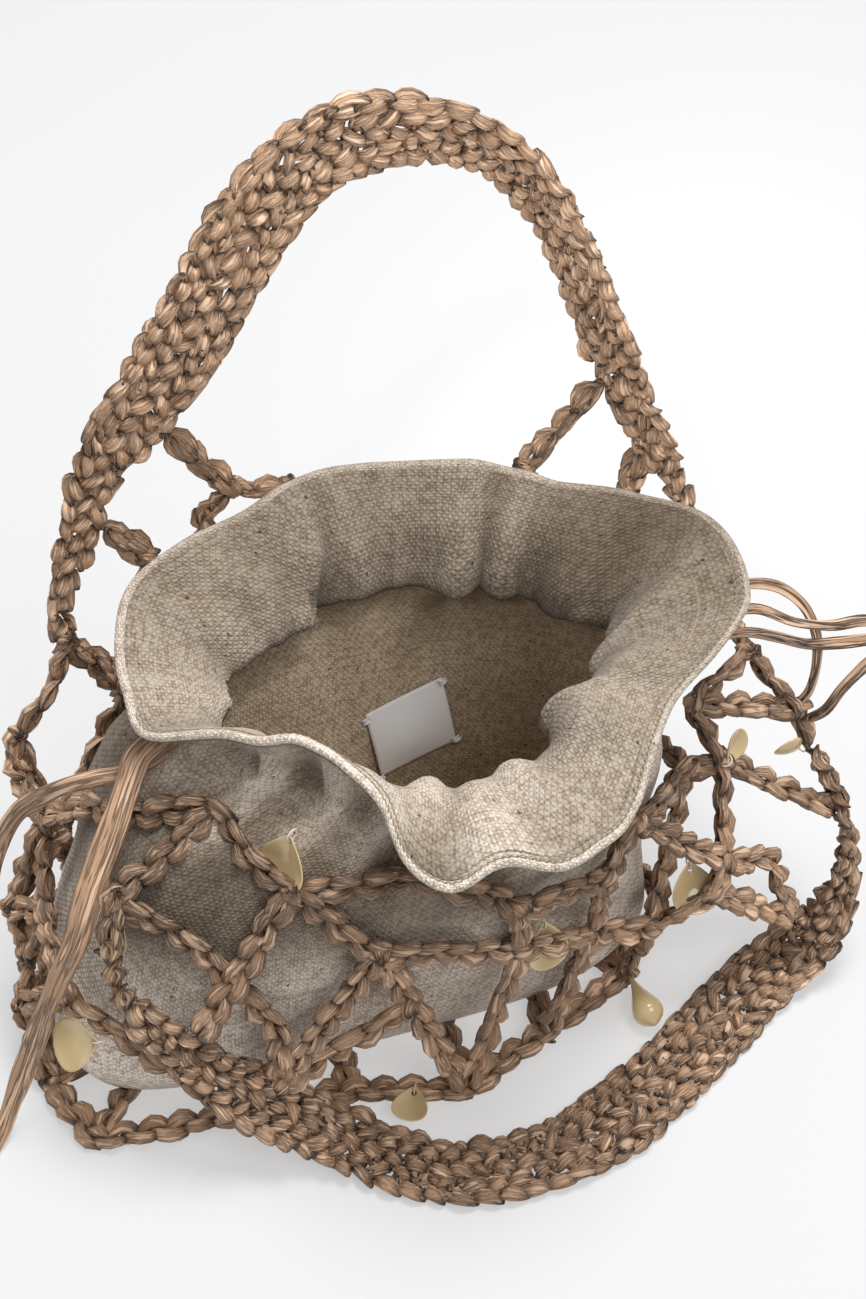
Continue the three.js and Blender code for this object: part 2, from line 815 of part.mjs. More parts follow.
// The label: a thin patch that follows the inside of the back wall and bulges between its corners.
function label() {
  const { x, up, width, height, tilt, bulge, sideBulge, cells } = LABEL;
  const wallAt = (px, pz) => {
    const section = sectionAt(pz);
    const angle = Math.atan2(section.deep, px - section.x);
    const near = wallPoint(section, angle);
    const better = Math.atan2(near.y - section.y, px - section.x);
    return wallPoint(section, better).y;
  };
  const sheet = (lift) =>
    Array.from({ length: cells + 1 }, (_, i) =>
      Array.from({ length: cells + 1 }, (_, j) => {
        const [u, v] = [i / cells - 0.5, j / cells - 0.5];
        const [a, b] = [u * width, v * height];
        const px = x + a * Math.cos(radians(tilt)) - b * Math.sin(radians(tilt));
        const pz = up + a * Math.sin(radians(tilt)) + b * Math.cos(radians(tilt));
        const side = lerp(sideBulge, 1, Math.cos(Math.PI * u));
        const swell = bulge * Math.cos(Math.PI * v) * side;
        const depth = CLOTH_WALL + 2 * GAP + swell + lift;
        return new THREE.Vector3(px, wallAt(px, pz) - depth, pz);
      }),
    );
  const [back, front] = [sheet(0), sheet(LABEL_THICKNESS)];
  const edge = (grid) => [
    ...grid.slice(0, -1).map((row) => row[0]),
    ...grid.at(-1).slice(0, -1),
    ...grid.slice(1).reverse().map((row) => row.at(-1)),
    ...grid[0].slice(1).reverse(),
  ];
  const middle = (grid) => grid[cells / 2][cells / 2];
  return solidOf(closedLoft([edge(back), edge(front)], middle(back), middle(front)));
}

function finish(colour, roughness) {
  return new THREE.MeshStandardMaterial({ color: colour, roughness, metalness: 0 });
}
const raffia = finish(RAFFIA_COLOUR, 0.75);
const linen = finish(LINEN_COLOUR, 0.95);
const shell = finish(SHELL_COLOUR, 0.3);
const satin = finish(SATIN_COLOUR, 0.4);

// A drawstring end, cut back to where it leaves the neck.
function tieSolid(tie, pouchSpace, clearance = 0) {
  const curve = smoothCurve(tie.route.map((p) => new THREE.Vector3(...p)));
  const whole = tube(curve, tie.route.length - 1, {
    width: tie.width + 2 * clearance,
    thickness: tie.thickness + 2 * clearance,
    sides: TIE_SIDES,
    face: new THREE.Vector3(...tie.face),
  });
  return mainBody(whole.subtract(pouchSpace));
}

const bag = new THREE.Group();
function add(name, geometry, material) {
  const mesh = new THREE.Mesh(geometry, material);
  mesh.name = name;
  bag.add(mesh);
}

const outside = pouchRings();
const pouchSpace = pouchClearance(outside);
const clearances = [
  pouchSpace,
  band(BACK_HANDLE, BACK_HANDLE_FACE, GAP),
  band(FRONT_HANDLE, FRONT_HANDLE_FACE, GAP),
  teardrop(TEARDROP, GAP),
  ...SHELLS.map((row) => petal(row, GAP)),
  ...TIES.map((tie) => tieSolid(tie, pouchSpace, GAP)),
];
add("linen_pouch", geometryOf(solidOf(pouchShell(outside))), linen);
add("raffia_net", geometryOf(raffiaNet(clearances)), raffia);
add("handle_back", geometryOf(band(BACK_HANDLE, BACK_HANDLE_FACE)), raffia);
add("handle_front", geometryOf(band(FRONT_HANDLE, FRONT_HANDLE_FACE)), raffia);
for (const tie of TIES) add(tie.name, geometryOf(tieSolid(tie, pouchSpace)), raffia);
SHELLS.forEach((row, i) => add("shell_petal_" + (i + 1), geometryOf(petal(row)), shell));
add("shell_teardrop", geometryOf(teardrop(TEARDROP)), shell);
add("label", geometryOf(label()), satin);

export default bag;
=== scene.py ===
"""Raffia net bag: a linen drawstring pouch in a crocheted raffia net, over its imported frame."""

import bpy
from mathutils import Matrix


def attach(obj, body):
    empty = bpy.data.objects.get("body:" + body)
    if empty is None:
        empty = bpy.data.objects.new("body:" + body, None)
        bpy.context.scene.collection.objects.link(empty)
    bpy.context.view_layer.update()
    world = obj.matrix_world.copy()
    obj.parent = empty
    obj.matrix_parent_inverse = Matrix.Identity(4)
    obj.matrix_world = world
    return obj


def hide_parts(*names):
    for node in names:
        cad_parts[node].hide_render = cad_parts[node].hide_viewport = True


bl_info = {
    "name": "Raffia net bag",
    "version": (1, 0, 0),
    "blender": (4, 5, 0),
    "location": "View3D > Sidebar > Net bag",
    "description": "Makes the linen pouch, crocheted net, handles, ribbons and shell drops",
    "category": "Object",
}

import functools
import math

import bmesh
import bpy
import numpy as np
from mathutils import Matrix, Vector, noise

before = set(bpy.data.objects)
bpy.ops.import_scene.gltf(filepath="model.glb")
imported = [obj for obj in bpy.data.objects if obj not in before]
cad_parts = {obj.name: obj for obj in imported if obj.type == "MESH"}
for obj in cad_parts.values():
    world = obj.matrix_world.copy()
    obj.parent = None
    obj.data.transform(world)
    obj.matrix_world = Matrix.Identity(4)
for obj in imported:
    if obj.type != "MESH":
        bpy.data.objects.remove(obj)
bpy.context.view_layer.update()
MM = 0.001
BODY = "root"

# The pouch from its base to its gathered neck: height, middle, half sizes, squareness and turn.
POUCH_SECTIONS = np.array(
    [
        (8.6, -36, -2, 152, 62, 4.0, 0),
        (28, -34, -1, 160, 70, 3.6, 0),
        (60, -30, 2, 156, 75, 3.0, 0),
        (100, -20, 8, 150, 81, 2.7, -1),
        (140, -8, 14, 145, 86, 2.5, -3),
        (163, 4, 18, 134, 82, 2.3, -5),
        (178, 15, 20, 116, 73, 2.2, -6),
        (187, 23, 21, 103, 65, 2.1, -6),
    ],
    float,
)
NECK_X, NECK_Y, NECK_UP = 23.0, 21.0, 187.0
BASE_UP, BASE_ROUND_UP = 8.6, 28.0
# The cloth's columns stand closer at the pouch's narrow ends. Its rows run from the middle of the
# base out to its edge, up its rounding, up the wall and up the header.
COLUMNS, COLUMN_STRETCH = 384, 1.5
BASE_ROWS = (0.0, 0.3, 0.55, 0.75, 0.88, 0.955)
ROUNDING_ROWS, WALL_FROM, WALL_ROWS, HEADER_FROM, HEADER_ROWS = 8, 31.0, 56, 0.03, 30

# The flared header's edge round the middle of the neck: angle, reach and height.
HEADER_RIM = np.array(
    [
        (-2, 156, 228), (11, 151, 232), (21, 130, 236), (34, 108, 240), (54, 100, 243),
        (74, 95, 245), (95, 100, 245), (112, 108, 243), (129, 116, 238), (142, 133, 233),
        (151, 148, 228), (165, 152, 222), (176, 149, 217), (185, 146, 212), (196, 116, 219),
        (210, 97, 222), (226, 92, 219), (240, 104, 209), (247, 126, 206), (255, 136, 203),
        (267, 130, 206), (278, 139, 206), (290, 137, 208), (305, 124, 211), (327, 120, 215),
        (341, 141, 220), (350, 153, 225),
    ],
    float,
)
# How the header opens and rises from neck to rim, how its pleats, gathers, folds and slack fade on
# the way, and its length.
HEADER_FLARE, HEADER_RISE, HEADER_LENGTH = 1.7, 0.7, 50.0
HEADER_PLEAT_FADE, FINE_FADE, FOLD_FADE, SLACK_FADE = 1.5, 1.6, 1.2, 1.5

# Pleats that the drawstring gathers: angle, depth and spread.
PLEATS = np.array(
    [
        (20, 3, 6), (41, 2, 6), (63, 7, 4), (88, 1, 6), (110, 2, 6), (131, 2, 5), (152, 5, 6),
        (172, 9, 7), (192, 9, 6), (210, 9, 6), (230, 9, 6), (251, 10, 6), (282, 8, 7),
        (318, 10, 7), (352, 10, 7),
    ],
    float,
)
# How far the cloth stands out between pleats, and how far down they run.
PLEAT_BULGE, PLEAT_DROP = 2.0, 34.0
# Fine gathers round the neck: how many and how deep. The facing shows less of them.
FINE_GATHERS, FINE_DEPTH, FACING_GATHERED = 44, 3.6, 0.15
# How far below the neck fine gathers, leaning folds and the open mouth run out.
FINE_DROP, LEAN_DROP, SLACK_DROP = 22.0, 14.0, 20.0
# Broad folds of the header that lean in over the mouth: angle, depth, spread and lift.
HEADER_FOLDS = np.array(
    [(326, 13, 24, 17), (300, 6, 12, 6), (275, 4, 12, 4), (250, 0, 9, 3)], float
)
# The groove that the drawstring draws in.
CINCH_DEPTH, CINCH_SPREAD = 3.0, 8.0
# Folds where the cloth laps over itself: angle at the neck and at the rim, depth, and how far it
# runs on.
OVERLAPS = np.array(
    [
        (132, 114, 18, 26), (174, 178, 6, 20), (205, 187, 9, 14), (12, 26, 15, 22),
        (347, 366, 13, -17), (318, 324, 9, 16), (246, 248, 6, 10),
    ],
    float,
)
# How wide a lap's edge is in degrees, and how laps fade towards the rim.
LAP_EDGE, LAP_FADE = 3.4, 0.8
# Rows of the cloth and of its facing that show the weave at its true size.
WIDEST_ROW, FACING_ROW = 42, 20
# How often neighbouring columns are eased into each other.
RELAX_PASSES = 4
# The drawstring is let out, so the neck hangs open: how far, and towards which angle.
MOUTH_SLACK, MOUTH_WAY = 17.0, math.radians(232)
# Creases of the cloth: size and depth of slow and quick waves, of upright ones in the header and of
# puckers at the neck. Then how far the puckers reach, the radius that upright waves are drawn on,
# the height where creases begin and over how much height they grow.
SLOW_WAVE, QUICK_WAVE, UPRIGHT_WAVE, PUCKER = (46.0, 4.0), (17.0, 1.6), (17.0, 6.0), (8.0, 2.4)
PUCKER_SPREAD, NECK_ROUND, CREASE_UP, CREASE_GROWS = 17.0, 90, 10, 30
# Painted shade in folds for each mm of depth, how many columns a fold is judged by, and the range.
FOLD_SHADE, FOLD_VIEW, FOLD_TONES = 0.12, 16, (0.45, 1.15)
# Painted shadow under the hem, by height and round a way, with a corner where it is darker still,
# and how far the gathered neck above it is lighter again, with less of the painted shadow.
UNDER_HEM_SHADE, UNDER_HEM_FROM, UNDER_HEM_TO, UNDER_HEM_WAY = 0.72, 84.0, 138.0, 222
UNDER_HEM_BROAD, CORNER_SHADE, CORNER_WAY, CORNER_SPREAD = 0.92, 0.2, 207, 15
NECK_LIT, NECK_LIT_FROM, NECK_LIT_TO = 0.6, 157.0, 184.0
# Painted shade at the back right: by how much, and round which way.
FAR_SHADE, FAR_WAY, FAR_SPREAD = 0.4, 35.0, 42.0
# Painted shade on the header's cloth round the mouth: angle and tone. The hem's is lighter.
HEADER_TONE = np.array(
    [
        (0, 0.25), (20, 0.16), (45, 0.28), (75, 0.32), (105, 0.32), (130, 0.32), (150, 0.40),
        (175, 0.52), (200, 0.59), (225, 0.63), (250, 0.63), (280, 0.62), (300, 0.49), (320, 0.41),
        (340, 0.38),
    ],
    float,
)
HEM_GAIN, HEM_FADE = 1.25, 0.7
# Light inside the pouch has crossed its own cloth, so the inside is warmer than the outside.
INSIDE_TINT = (1.0, 0.92, 0.8)
OUTSIDE_TINT = (1.24, 1.25, 1.3)
# A sagging fold across the front of the body: height on the left and right, ends, depth, how far
# back it starts, how sharp its edge is and how far it reaches up and down.
SAG_UP, SAG_FROM, SAG_TO, SAG_DEPTH = (84, 96), -125, 75, 6.0
SAG_BACK, SAG_EDGE, SAG_REACH = 40, 1.6, 20
# The facing: its rows, how far it stands off the cloth and more at the neck, and its thickness.
FACING_ROWS = slice(-31, -1)
FACING_GAP, FACING_STAND, FACING_REACH, FACING_THICK = 0.35, 2.4, 12.0, 0.9
# The hem's roll: points round it, half its thickness, how far it hangs past the rim, how deep it
# sits in thicknesses of the cloth, and mm of weave to a radian of it.
HEM_POINTS, HEM_HALF, HEM_PAST, HEM_IN, HEM_WEAVE = 13, 2.3, 0.6, 0.7, 4.0
# Seam stitches: their length, and each row's way from the rim, lift, and 1 if it is inside.
SEAM_PITCH = 3.4
SEAM_ROWS = ((6.6, 0.25, 0), (6.6, -1.5, 1), (2.6, 1.7, 0), (2.6, -1.9, 1))

# Stations along the middle of each handle: place, width and turn about its run.
BACK_HANDLE = np.array(
    [
        (-149, 103, 181, 12, 0), (-144, 109, 206, 17, 0), (-130, 118, 236, 22, 0),
        (-115, 127, 267, 29, 0), (-96, 133, 288, 38, 0), (-73, 139, 310, 43, 0),
        (-45, 149, 344, 43, 0), (-21, 157, 373, 43, 0), (7, 164, 395, 43, 4),
        (35, 165, 402, 42, 12), (64, 164, 400, 41, 24), (91, 161, 388, 40, 40),
        (112, 156, 368, 39, 54), (127, 149, 343, 38, 60), (139, 140, 311, 38, 60),
        (148, 132, 284, 36, 55), (159, 123, 253, 28, 42), (172, 115, 225, 23, 26),
        (185, 107, 197, 17, 10), (193, 101, 178, 12, 0),
    ],
    float,
)
FRONT_HANDLE = np.array(
    [
        (-159, -47, 126, 13, 60), (-157, -62, 106, 18, 55), (-141, -78, 87, 24, 50),
        (-126, -88, 67, 31, 42), (-108, -95, 45, 38, 34), (-86, -104, 25, 41, 20),
        (-64, -116, 11, 41, 8), (-42, -132, 4.3, 41, 0), (-15, -146, 4.3, 41, 0),
        (9, -151, 4.3, 41, 0), (37, -150, 4.3, 41, 0), (66, -143, 4.3, 42, 0),
        (98, -129, 4.3, 43, 0), (133, -110, 4.3, 43, 0), (167, -91, 6, 43, 4),
        (197, -80, 14, 39, 14), (216, -76, 36, 31, 34), (226, -65, 66, 23, 50),
        (225, -50, 96, 17, 60), (212, -31, 126, 12, 64),
    ],
    float,
)
# Handles: node, stations, the way the flat side looks, seed, and tone: painted shade on the lying
# one.
HANDLES = (
    ("handle_back", BACK_HANDLE, (0, -0.96, 0.28), 31, 1.0),
    ("handle_front", FRONT_HANDLE, (0, 0, 1), 32, 0.62),
)
# The room a row of stitches needs, in rows, and how far out the rows that turn round an edge begin.
ROW_ROOM, EDGE_FROM, EDGE_BY = 0.36, 0.45, 0.4

# The net's knots, and the chains that run through them.
NET_KNOTS = {
    "left_arch": (-96, -18, 176), "front_a": (-71, -62, 160), "front_b": (-36, -82, 122),
    "front_c": (36, -83, 94), "front_d": (78, -76, 80), "front_e": (112, -73, 66),
    "front_f": (143, -75, 85), "under_rim_a": (-22, -72, 163), "under_rim_b": (18, -80, 146),
    "under_rim_c": (34, -82, 130), "under_rim_d": (81, -75, 127), "under_rim_e": (98, -66, 150),
    "low_a": (-22, -86, 74), "dark_a": (-119, -62, 134), "dark_b": (-102, -75, 108),
    "dark_c": (-88, -84, 78), "right_a": (150, -11, 160), "right_b": (160, -32, 135),
    "right_c": (152, -65, 97), "right_d": (143, -28, 132), "right_top": (186, 7, 170),
    "right_back": (190, 56, 164), "left_top_a": (-160, 89, 165), "left_top_b": (-181, 79, 148),
    "left_top_c": (-186, 70, 136), "left_knot": (-177, 42, 125), "left_fork": (-152, 22, 150),
    "left_a": (-186, 8, 92), "left_b": (-203, 26, 80), "left_c": (-200, 8, 62),
    "left_d": (-208, -6, 38), "left_e": (-184, -38, 86), "floor_left_a": (-204, -36, 4.2),
    "floor_left_b": (-186, -74, 4.2), "floor_left_c": (-158, -78, 4.2),
    "floor_front_a": (-56, -86, 4.2), "floor_front_b": (3, -101, 4.2),
    "floor_front_c": (54, -82, 4.2), "floor_front_d": (106, -62, 4.2),
    "hand_left_a": (-150, -34, 148), "hand_left_b": (-159, -47, 126),
    "hand_left_c": (-128, -82, 88), "hand_left_d": (-92, -92, 42),
    "hand_left_low": (-143, -78, 58), "hand_right_a": (206, -18, 146),
    "hand_right_b": (212, -31, 126), "hand_right_c": (222, -52, 94),
    "hand_right_tab": (182, -60, 78), "hand_right_d": (197, -74, 36),
    "back_left_a": (-146, 101, 184), "back_left_b": (-118, 121, 240),
    "back_left_c": (-80, 131, 282), "back_left_fork": (-50, 128, 240),
    "back_left_dip": (-68, 124, 226), "back_left_low": (-98, 118, 216),
    "back_left_side": (-124, 95, 152), "back_mid_left": (-22, 130, 232),
    "back_mid_right": (104, 124, 216), "back_right_dip": (160, 114, 194),
    "back_right_a": (144, 128, 262), "back_right_b": (166, 116, 222),
    "back_right_c": (193, 101, 178),
}
NET_CHAINS = (
    "left_knot left_fork left_arch front_a front_b front_c front_d front_e front_f right_c",
    "left_arch hand_left_a hand_left_b",
    "front_a under_rim_a under_rim_b under_rim_c under_rim_d under_rim_e right_c",
    "front_a hand_left_c",
    "front_b hand_left_d",
    "front_b low_a floor_front_b",
    "low_a hand_left_d",
    "hand_left_a dark_a dark_b dark_c hand_left_d",
    "front_c floor_front_b",
    "front_c under_rim_c",
    "front_d floor_front_c",
    "front_d under_rim_d",
    "front_e floor_front_d",
    "front_e right_d",
    "front_f hand_right_d",
    "right_c hand_right_tab hand_right_d",
    "right_top right_a right_b right_c",
    "right_a hand_right_a",
    "right_b hand_right_c",
    "right_b right_d under_rim_e",
    "right_top hand_right_a hand_right_b",
    "right_top right_back back_right_c",
    "back_left_a left_top_a left_top_b left_top_c left_knot left_a left_e hand_left_low",
    "left_knot left_b left_a",
    "left_b left_c left_d floor_left_a",
    "left_a left_c",
    "left_e left_d",
    "floor_left_a floor_left_b floor_left_c floor_front_a floor_front_b "
    "floor_front_c floor_front_d",
    "back_left_a back_left_side",
    "back_left_b back_left_low",
    "back_left_c back_left_fork back_mid_left",
    "back_left_fork back_left_dip",
    "back_right_a back_mid_right",
    "back_right_b back_right_dip",
    "back_left_side upper_4",
    "back_left_low upper_4",
    "back_left_dip upper_3",
    "back_mid_left upper_2",
    "back_mid_right upper_1",
    "back_right_dip upper_0",
    "right_back upper_0",
    "left_top_b middle_5",
    "left_b middle_5",
    "right_d middle_0",
    "left_d floor_5",
    "floor_left_a floor_5",
    "front_e floor_0",
    "floor_front_d floor_0",
    "floor_0 floor_1 floor_2 floor_3 floor_4 floor_5",
)
# Rows of knots at the back of the pouch: name, height, first and last angle, and how many.
BACK_ROWS = (
    ("upper", 150, 34, 150, 5),
    ("middle", 96, 12, 164, 6),
    ("lower", 46, 30, 154, 5),
    ("floor", 4.2, 8, 168, 6),
)
# How far off the pouch the back's knots and bowed chains stand, how low stitches lie, and the
# height below which a chain turns its face up, with the drop that it takes.
NET_STANDOFF, BOW_STANDOFF, LEAST_UP = 9.0, 7.0, 0.2
LOW_FROM, LOW_BY = 46, 40
# How dark the painted shade in the creases is, in a worked stitch and in a loose ribbon.
STITCH_CREASED, RIBBON_CREASED = 0.34, 0.84
# A stitch's leaf: how its ends and its flat are rounded, the range of its ridges, and how far apart
# leaves read the paper's pattern.
LEAF_END, LEAF_FLAT, LEAF_RIDGES, LEAF_GRAIN = 0.7, 0.6, (0.5, 1.4), (40, 40, 60)
LEAF_AT_REST = dict.fromkeys(("side_bow", "lift0", "lift1", "roll", "twist", "fold"), 0.0)
# Painted shadow on chains at the front, under the hem: how deep at the top, and over which heights.
CHAIN_SHADE, CHAIN_SHADE_UP = 0.5, (95, 140)
# Leaves wound round a knot: half their run, and how many.
KNOT_REACH, KNOT_LEAVES = 6, 5
# The foundation chain along the middle of the floor, and the knots that spokes run to from it.
FOUNDATION_FROM, FOUNDATION_TO, FOUNDATION_STOPS, FOUNDATION_INSET = -130, 70, 6, 8
FLOOR_CHAIN_UP = 4.2
SPOKES = (
    "floor_left_a floor_left_b floor_front_a floor_front_b floor_front_c floor_front_d "
    "floor_0 floor_1 floor_2 floor_3 floor_4 floor_5"
)

# Ribbon ends from the neck outwards: node, width, thickness, taper, tone, the way the flat side
# looks, the point of its route where the cloth lets it go, how it ends, and its route.
TIES = (
    ("drawstring_left_broad", 15, 2.4, 0.35, 0.42, (-0.2, -0.65, 0.73), 15, "bare",
     ((-64, 32, 189), (-86, 30, 189), (-107, 27, 187), (-124, 20, 183), (-133, 8, 178),
      (-143, -7, 170), (-154, -19, 158), (-164, -31, 146), (-174, -40, 128), (-185, -43, 108),
      (-194, -44, 88), (-203, -45, 66), (-213, -47, 43), (-223, -51, 22), (-232, -57, 7),
      (-241, -66, 3.5))),
    ("drawstring_left_narrow", 9, 2.4, 0, 0.42, (0, -0.64, 0.77), 14, "bare",
     ((-64, 40, 183), (-84, 37, 181), (-106, 28, 178), (-130, 18, 175), (-148, 19, 174),
      (-162, 25, 166), (-175, 33, 152), (-187, 39, 138), (-197, 40, 122), (-205, 38, 104),
      (-211, 35, 86))),
    ("drawstring_right_arc", 6, 2, 0, 0.1, (0, -0.64, 0.77), 18, "object",
     ((108, 24, 190), (130, 26, 192), (152, 28, 194), (174, 29, 196), (194, 27, 197),
      (207, 22, 195), (217, 12, 188), (220, 0, 178), (217, -10, 168), (211, -18, 158),
      (205, -19, 149))),
    ("drawstring_right_loop", 6, 2, 0, 0.1, (0, -0.64, 0.77), 9, "object",
     ((108, 10, 188), (130, 13, 189), (152, 16, 190), (174, 17, 191), (192, 15, 191),
      (207, 3, 189), (224, -4, 188), (243, -6, 188), (253, -11, 185), (249, -19, 179),
      (235, -24, 174), (221, -30, 168), (213, -33, 159), (208, -28, 148))),
    ("drawstring_right_end", 6, 2, 0, 0.1, (0, -0.64, 0.77), 10, "bare",
     ((108, -4, 186), (130, -2, 186), (152, 3, 186), (170, 7, 186), (185, 6, 185),
      (197, 0, 184), (210, -8, 183), (226, -12, 183), (246, -14, 182))),
)
# A ribbon: points round it, mm between rings, how its width breathes, how deep its ridges are and
# how it leans, each with the wave's length, and how its grain is drawn out.
RIBBON_SIDES, RIBBON_STEP = 14, 3.0
BREATH_SLOW, BREATH_QUICK, RIDGE, LEAN = (0.10, 17), (0.05, 6.3), (0.55, 23), (0.22, 31)
RIBBON_GRAIN = 0.35

# Shell petals: middle, length, width, dish, heading, pitch and roll.
SHELL_PETALS = (
    (-182, -55.5, 68, 29, 27, 4, 150, -28, -44),
    (-70, -51, 171, 31, 27, 4, 214, -66, 0),
    (50, -78, 87, 31, 23, 4, 278, -72, 0),
    (135, -67, 83, 28, 26, 4, 268, -40, 0),
    (-28, -104, 6, 22, 19, 3, 240, 4, 0),
    (166, -28, 141, 20, 17, 3, 40, 20, 70),
    (200.4, -32, 129.8, 20, 16, 3, 200, 30, 70),
    (-153.4, -37.4, 127.4, 24, 20, 3, 215, -60, 0),
)
# How full a petal is, half its thickness, its drilled hole, and the loop of thread through it.
PETAL_FULLNESS, PETAL_HALF = 1.3, 0.8
HOLE_RADIUS, HOLE_INSET, HOLE_DEPTH = 1.3, 4.5, 24.0
LOOP_RADIUS, THREAD_RADIUS, THREAD_TONE = 3.2, 0.45, 0.8
# The teardrop: tip, length, radius and heading, and how thick its neck is.
TEARDROP = (107, -62, 9.4, 37, 7.8, 273)
TEARDROP_NECK = 0.9
# The label on the inside of the back wall: x, height, width, height, tilt and bulge.
LABEL = (27, 81, 47, 42, 20, 5)
# Its grid, thickness and way off the wall, how its sides lean and stretch, and its corner stitches.
LABEL_CELLS, LABEL_THICK, LABEL_OFF, LABEL_LEAN, LABEL_STRETCH = 24, 0.8, 2.2, 0.35, 1.06
STITCH_OFF, STITCH_REACH = 4.0, 4.0
LABEL_CORNERS = ((-0.5, -0.5), (-0.5, 0.44), (0.5, -0.44), (0.5, 0.47))

# The stage: camera sensor in mm, floor size and gap under the bag in m, and the room's light.
SENSOR, FLOOR_HALF, FLOOR_GAP, ROOM_LIGHT = 36.0, 6.0, 0.0003, 0.34
# Lamps: place, aim, size, power, and the cone of a spot in degrees.
LAMPS = (
    ("overhead light", (0.5, 0.55, 2.9), (0, 0, 0.15), 1.4, 80.0, None),
    ("fill light", (0.8, -1.5, 2.5), (0, 0, 0.15), 1.4, 24.0, None),
    ("mouth light", (0.05, -0.22, 0.8), (-0.02, 0.07, 0.07), 0.03, 5.0, 17),
    ("handle light", (-0.5, -0.75, 1.4), (0.145, 0.145, 0.325), 0.12, 62.0, 15),
)

# Patterns in cycles to a metre. The linen's threads sway over 11 mm, a slub is 8 mm of a yarn 2 mm
# wide, wash marks are 45 mm across and flecks of straw 3 mm.
SWAY, SWAY_BY, WASH, STRAW = 90.0, (0.0024, 0.0024, 0.0), 22.0, 330.0
SLUB_ALONG, SLUB_ACROSS = 120.0, 520.0
# The raffia's creases are 2.3 mm apart and 17 mm long. Its crumpled facets, where the strip was
# pulled through a stitch, are about 3 by 6 mm.
CREASES, FACETS = (430.0, 430.0, 60.0), (300.0, 300.0, 170.0)
# The shell's bands are about 22 mm apart. The satin's ribs are drawn 1.7 mm apart, far coarser than
# real ones, so that they show.
BANDS, RIBS = 14.0, 180.0
# Sockets of a colour mix: the share of the second colour, and the two colours.
FACTOR, FIRST, SECOND = 0, 6, 7


class PouchSettings(bpy.types.PropertyGroup):
    """Sizes and colours of the linen pouch."""

    wall: bpy.props.FloatProperty(
        name="Cloth", description="Thickness of the linen", default=1.4 * MM, unit="LENGTH"
    )
    # A little coarser than real threads about 1.5 mm apart, so that the weave shows.
    thread: bpy.props.FloatProperty(
        name="Thread spacing", description="Distance between threads", default=1.7 * MM,
        unit="LENGTH",
    )
    hem: bpy.props.FloatProperty(
        name="Hem", description="Height of the rolled hem", default=5.6 * MM, unit="LENGTH"
    )
    light: bpy.props.StringProperty(name="Light", description="Sunlit linen", default="#e3d8ca")
    mid: bpy.props.StringProperty(name="Mid", description="Linen's own tone", default="#b4a491")
    dark: bpy.props.StringProperty(name="Gaps", description="Between threads", default="#6f5d47")
    seam: bpy.props.StringProperty(name="Seam", description="Sewing thread", default="#9b8c78")


class RaffiaSettings(bpy.types.PropertyGroup):
    """Sizes and colours of the crochet."""

    chain_pitch: bpy.props.FloatProperty(
        name="Chain stitch", description="Length of a chain stitch", default=15.0 * MM,
        unit="LENGTH",
    )
    row_pitch: bpy.props.FloatProperty(
        name="Handle row", description="Width of a row in a handle", default=7.2 * MM,
        unit="LENGTH",
    )
    handle_pitch: bpy.props.FloatProperty(
        name="Handle stitch", description="Length of a handle stitch", default=11.5 * MM,
        unit="LENGTH",
    )
    light: bpy.props.StringProperty(name="Light", description="Lit ribbon", default="#eac6a7")
    mid: bpy.props.StringProperty(name="Mid", description="Ribbon's own tone", default="#b68f6f")
    # The dark colour is painted shade in folds and creases, and darkens some leaves at random.
    dark: bpy.props.StringProperty(name="Dark", description="Folds", default="#2e2018")


class TrimSettings(bpy.types.PropertyGroup):
    """Colours of the shells and the label."""

    shell: bpy.props.StringProperty(name="Shell", description="Polished shell", default="#ddc596")
    shell_dark: bpy.props.StringProperty(name="Bands", description="Shell bands", default="#8f6f42")
    satin: bpy.props.StringProperty(name="Satin", description="Label ribbon", default="#dfdddc")
    edge: bpy.props.StringProperty(name="Edge", description="Label stitches", default="#efeeec")


class StageSettings(bpy.types.PropertyGroup):
    """Camera, floor and light."""

    eye: bpy.props.FloatVectorProperty(
        name="Camera", description="Where the camera stands", default=(-0.1482, -0.5361, 0.856),
        size=3, subtype="TRANSLATION",
    )
    turn: bpy.props.FloatProperty(
        name="Turn", description="Camera azimuth", default=math.radians(-17), subtype="ANGLE"
    )
    pitch: bpy.props.FloatProperty(
        name="Pitch", description="How far the camera looks down", default=math.radians(48),
        subtype="ANGLE",
    )
    lens: bpy.props.FloatProperty(name="Lens", description="Focal length in mm", default=50.0)
    floor: bpy.props.StringProperty(name="Floor", description="Floor paint", default="#a2a2a3")


# Shared helpers


def linear(hex_colour):
    """An sRGB hex colour as linear RGBA."""
    parts = [int(hex_colour[i : i + 2], 16) / 255 for i in (1, 3, 5)]
    return [c / 12.92 if c <= 0.04045 else ((c + 0.055) / 1.055) ** 2.4 for c in parts] + [1.0]


def darker(colour, share):
    """A linear colour with only a share of its light."""
    return [c * share for c in colour[:3]] + [1.0]


def add_node(tree, kind, inputs=None, **settings):
    """A node with its settings. An input gets a value, or a link from a socket or a node."""
    node = tree.nodes.new(kind)
    for name, value in settings.items():
        setattr(node, name, value)
    for name, value in (inputs or {}).items():
        if isinstance(value, bpy.types.Node):
            value = next(socket for socket in value.outputs if socket.enabled)
        if isinstance(value, bpy.types.NodeSocket):
            tree.links.new(value, node.inputs[name])
        else:
            node.inputs[name].default_value = value
    return node


def new_material(name):
    """A material without nodes, and add_node for its tree."""
    material = bpy.data.materials.new(name)
    material.use_nodes = True
    material.node_tree.nodes.clear()
    return material, functools.partial(add_node, material.node_tree)


def surfaced(material, add, sockets):
    """The material with its output and its shader, which takes these sockets."""
    shader = add("ShaderNodeBsdfPrincipled", sockets)
    add("ShaderNodeOutputMaterial", {"Surface": shader})
    return material


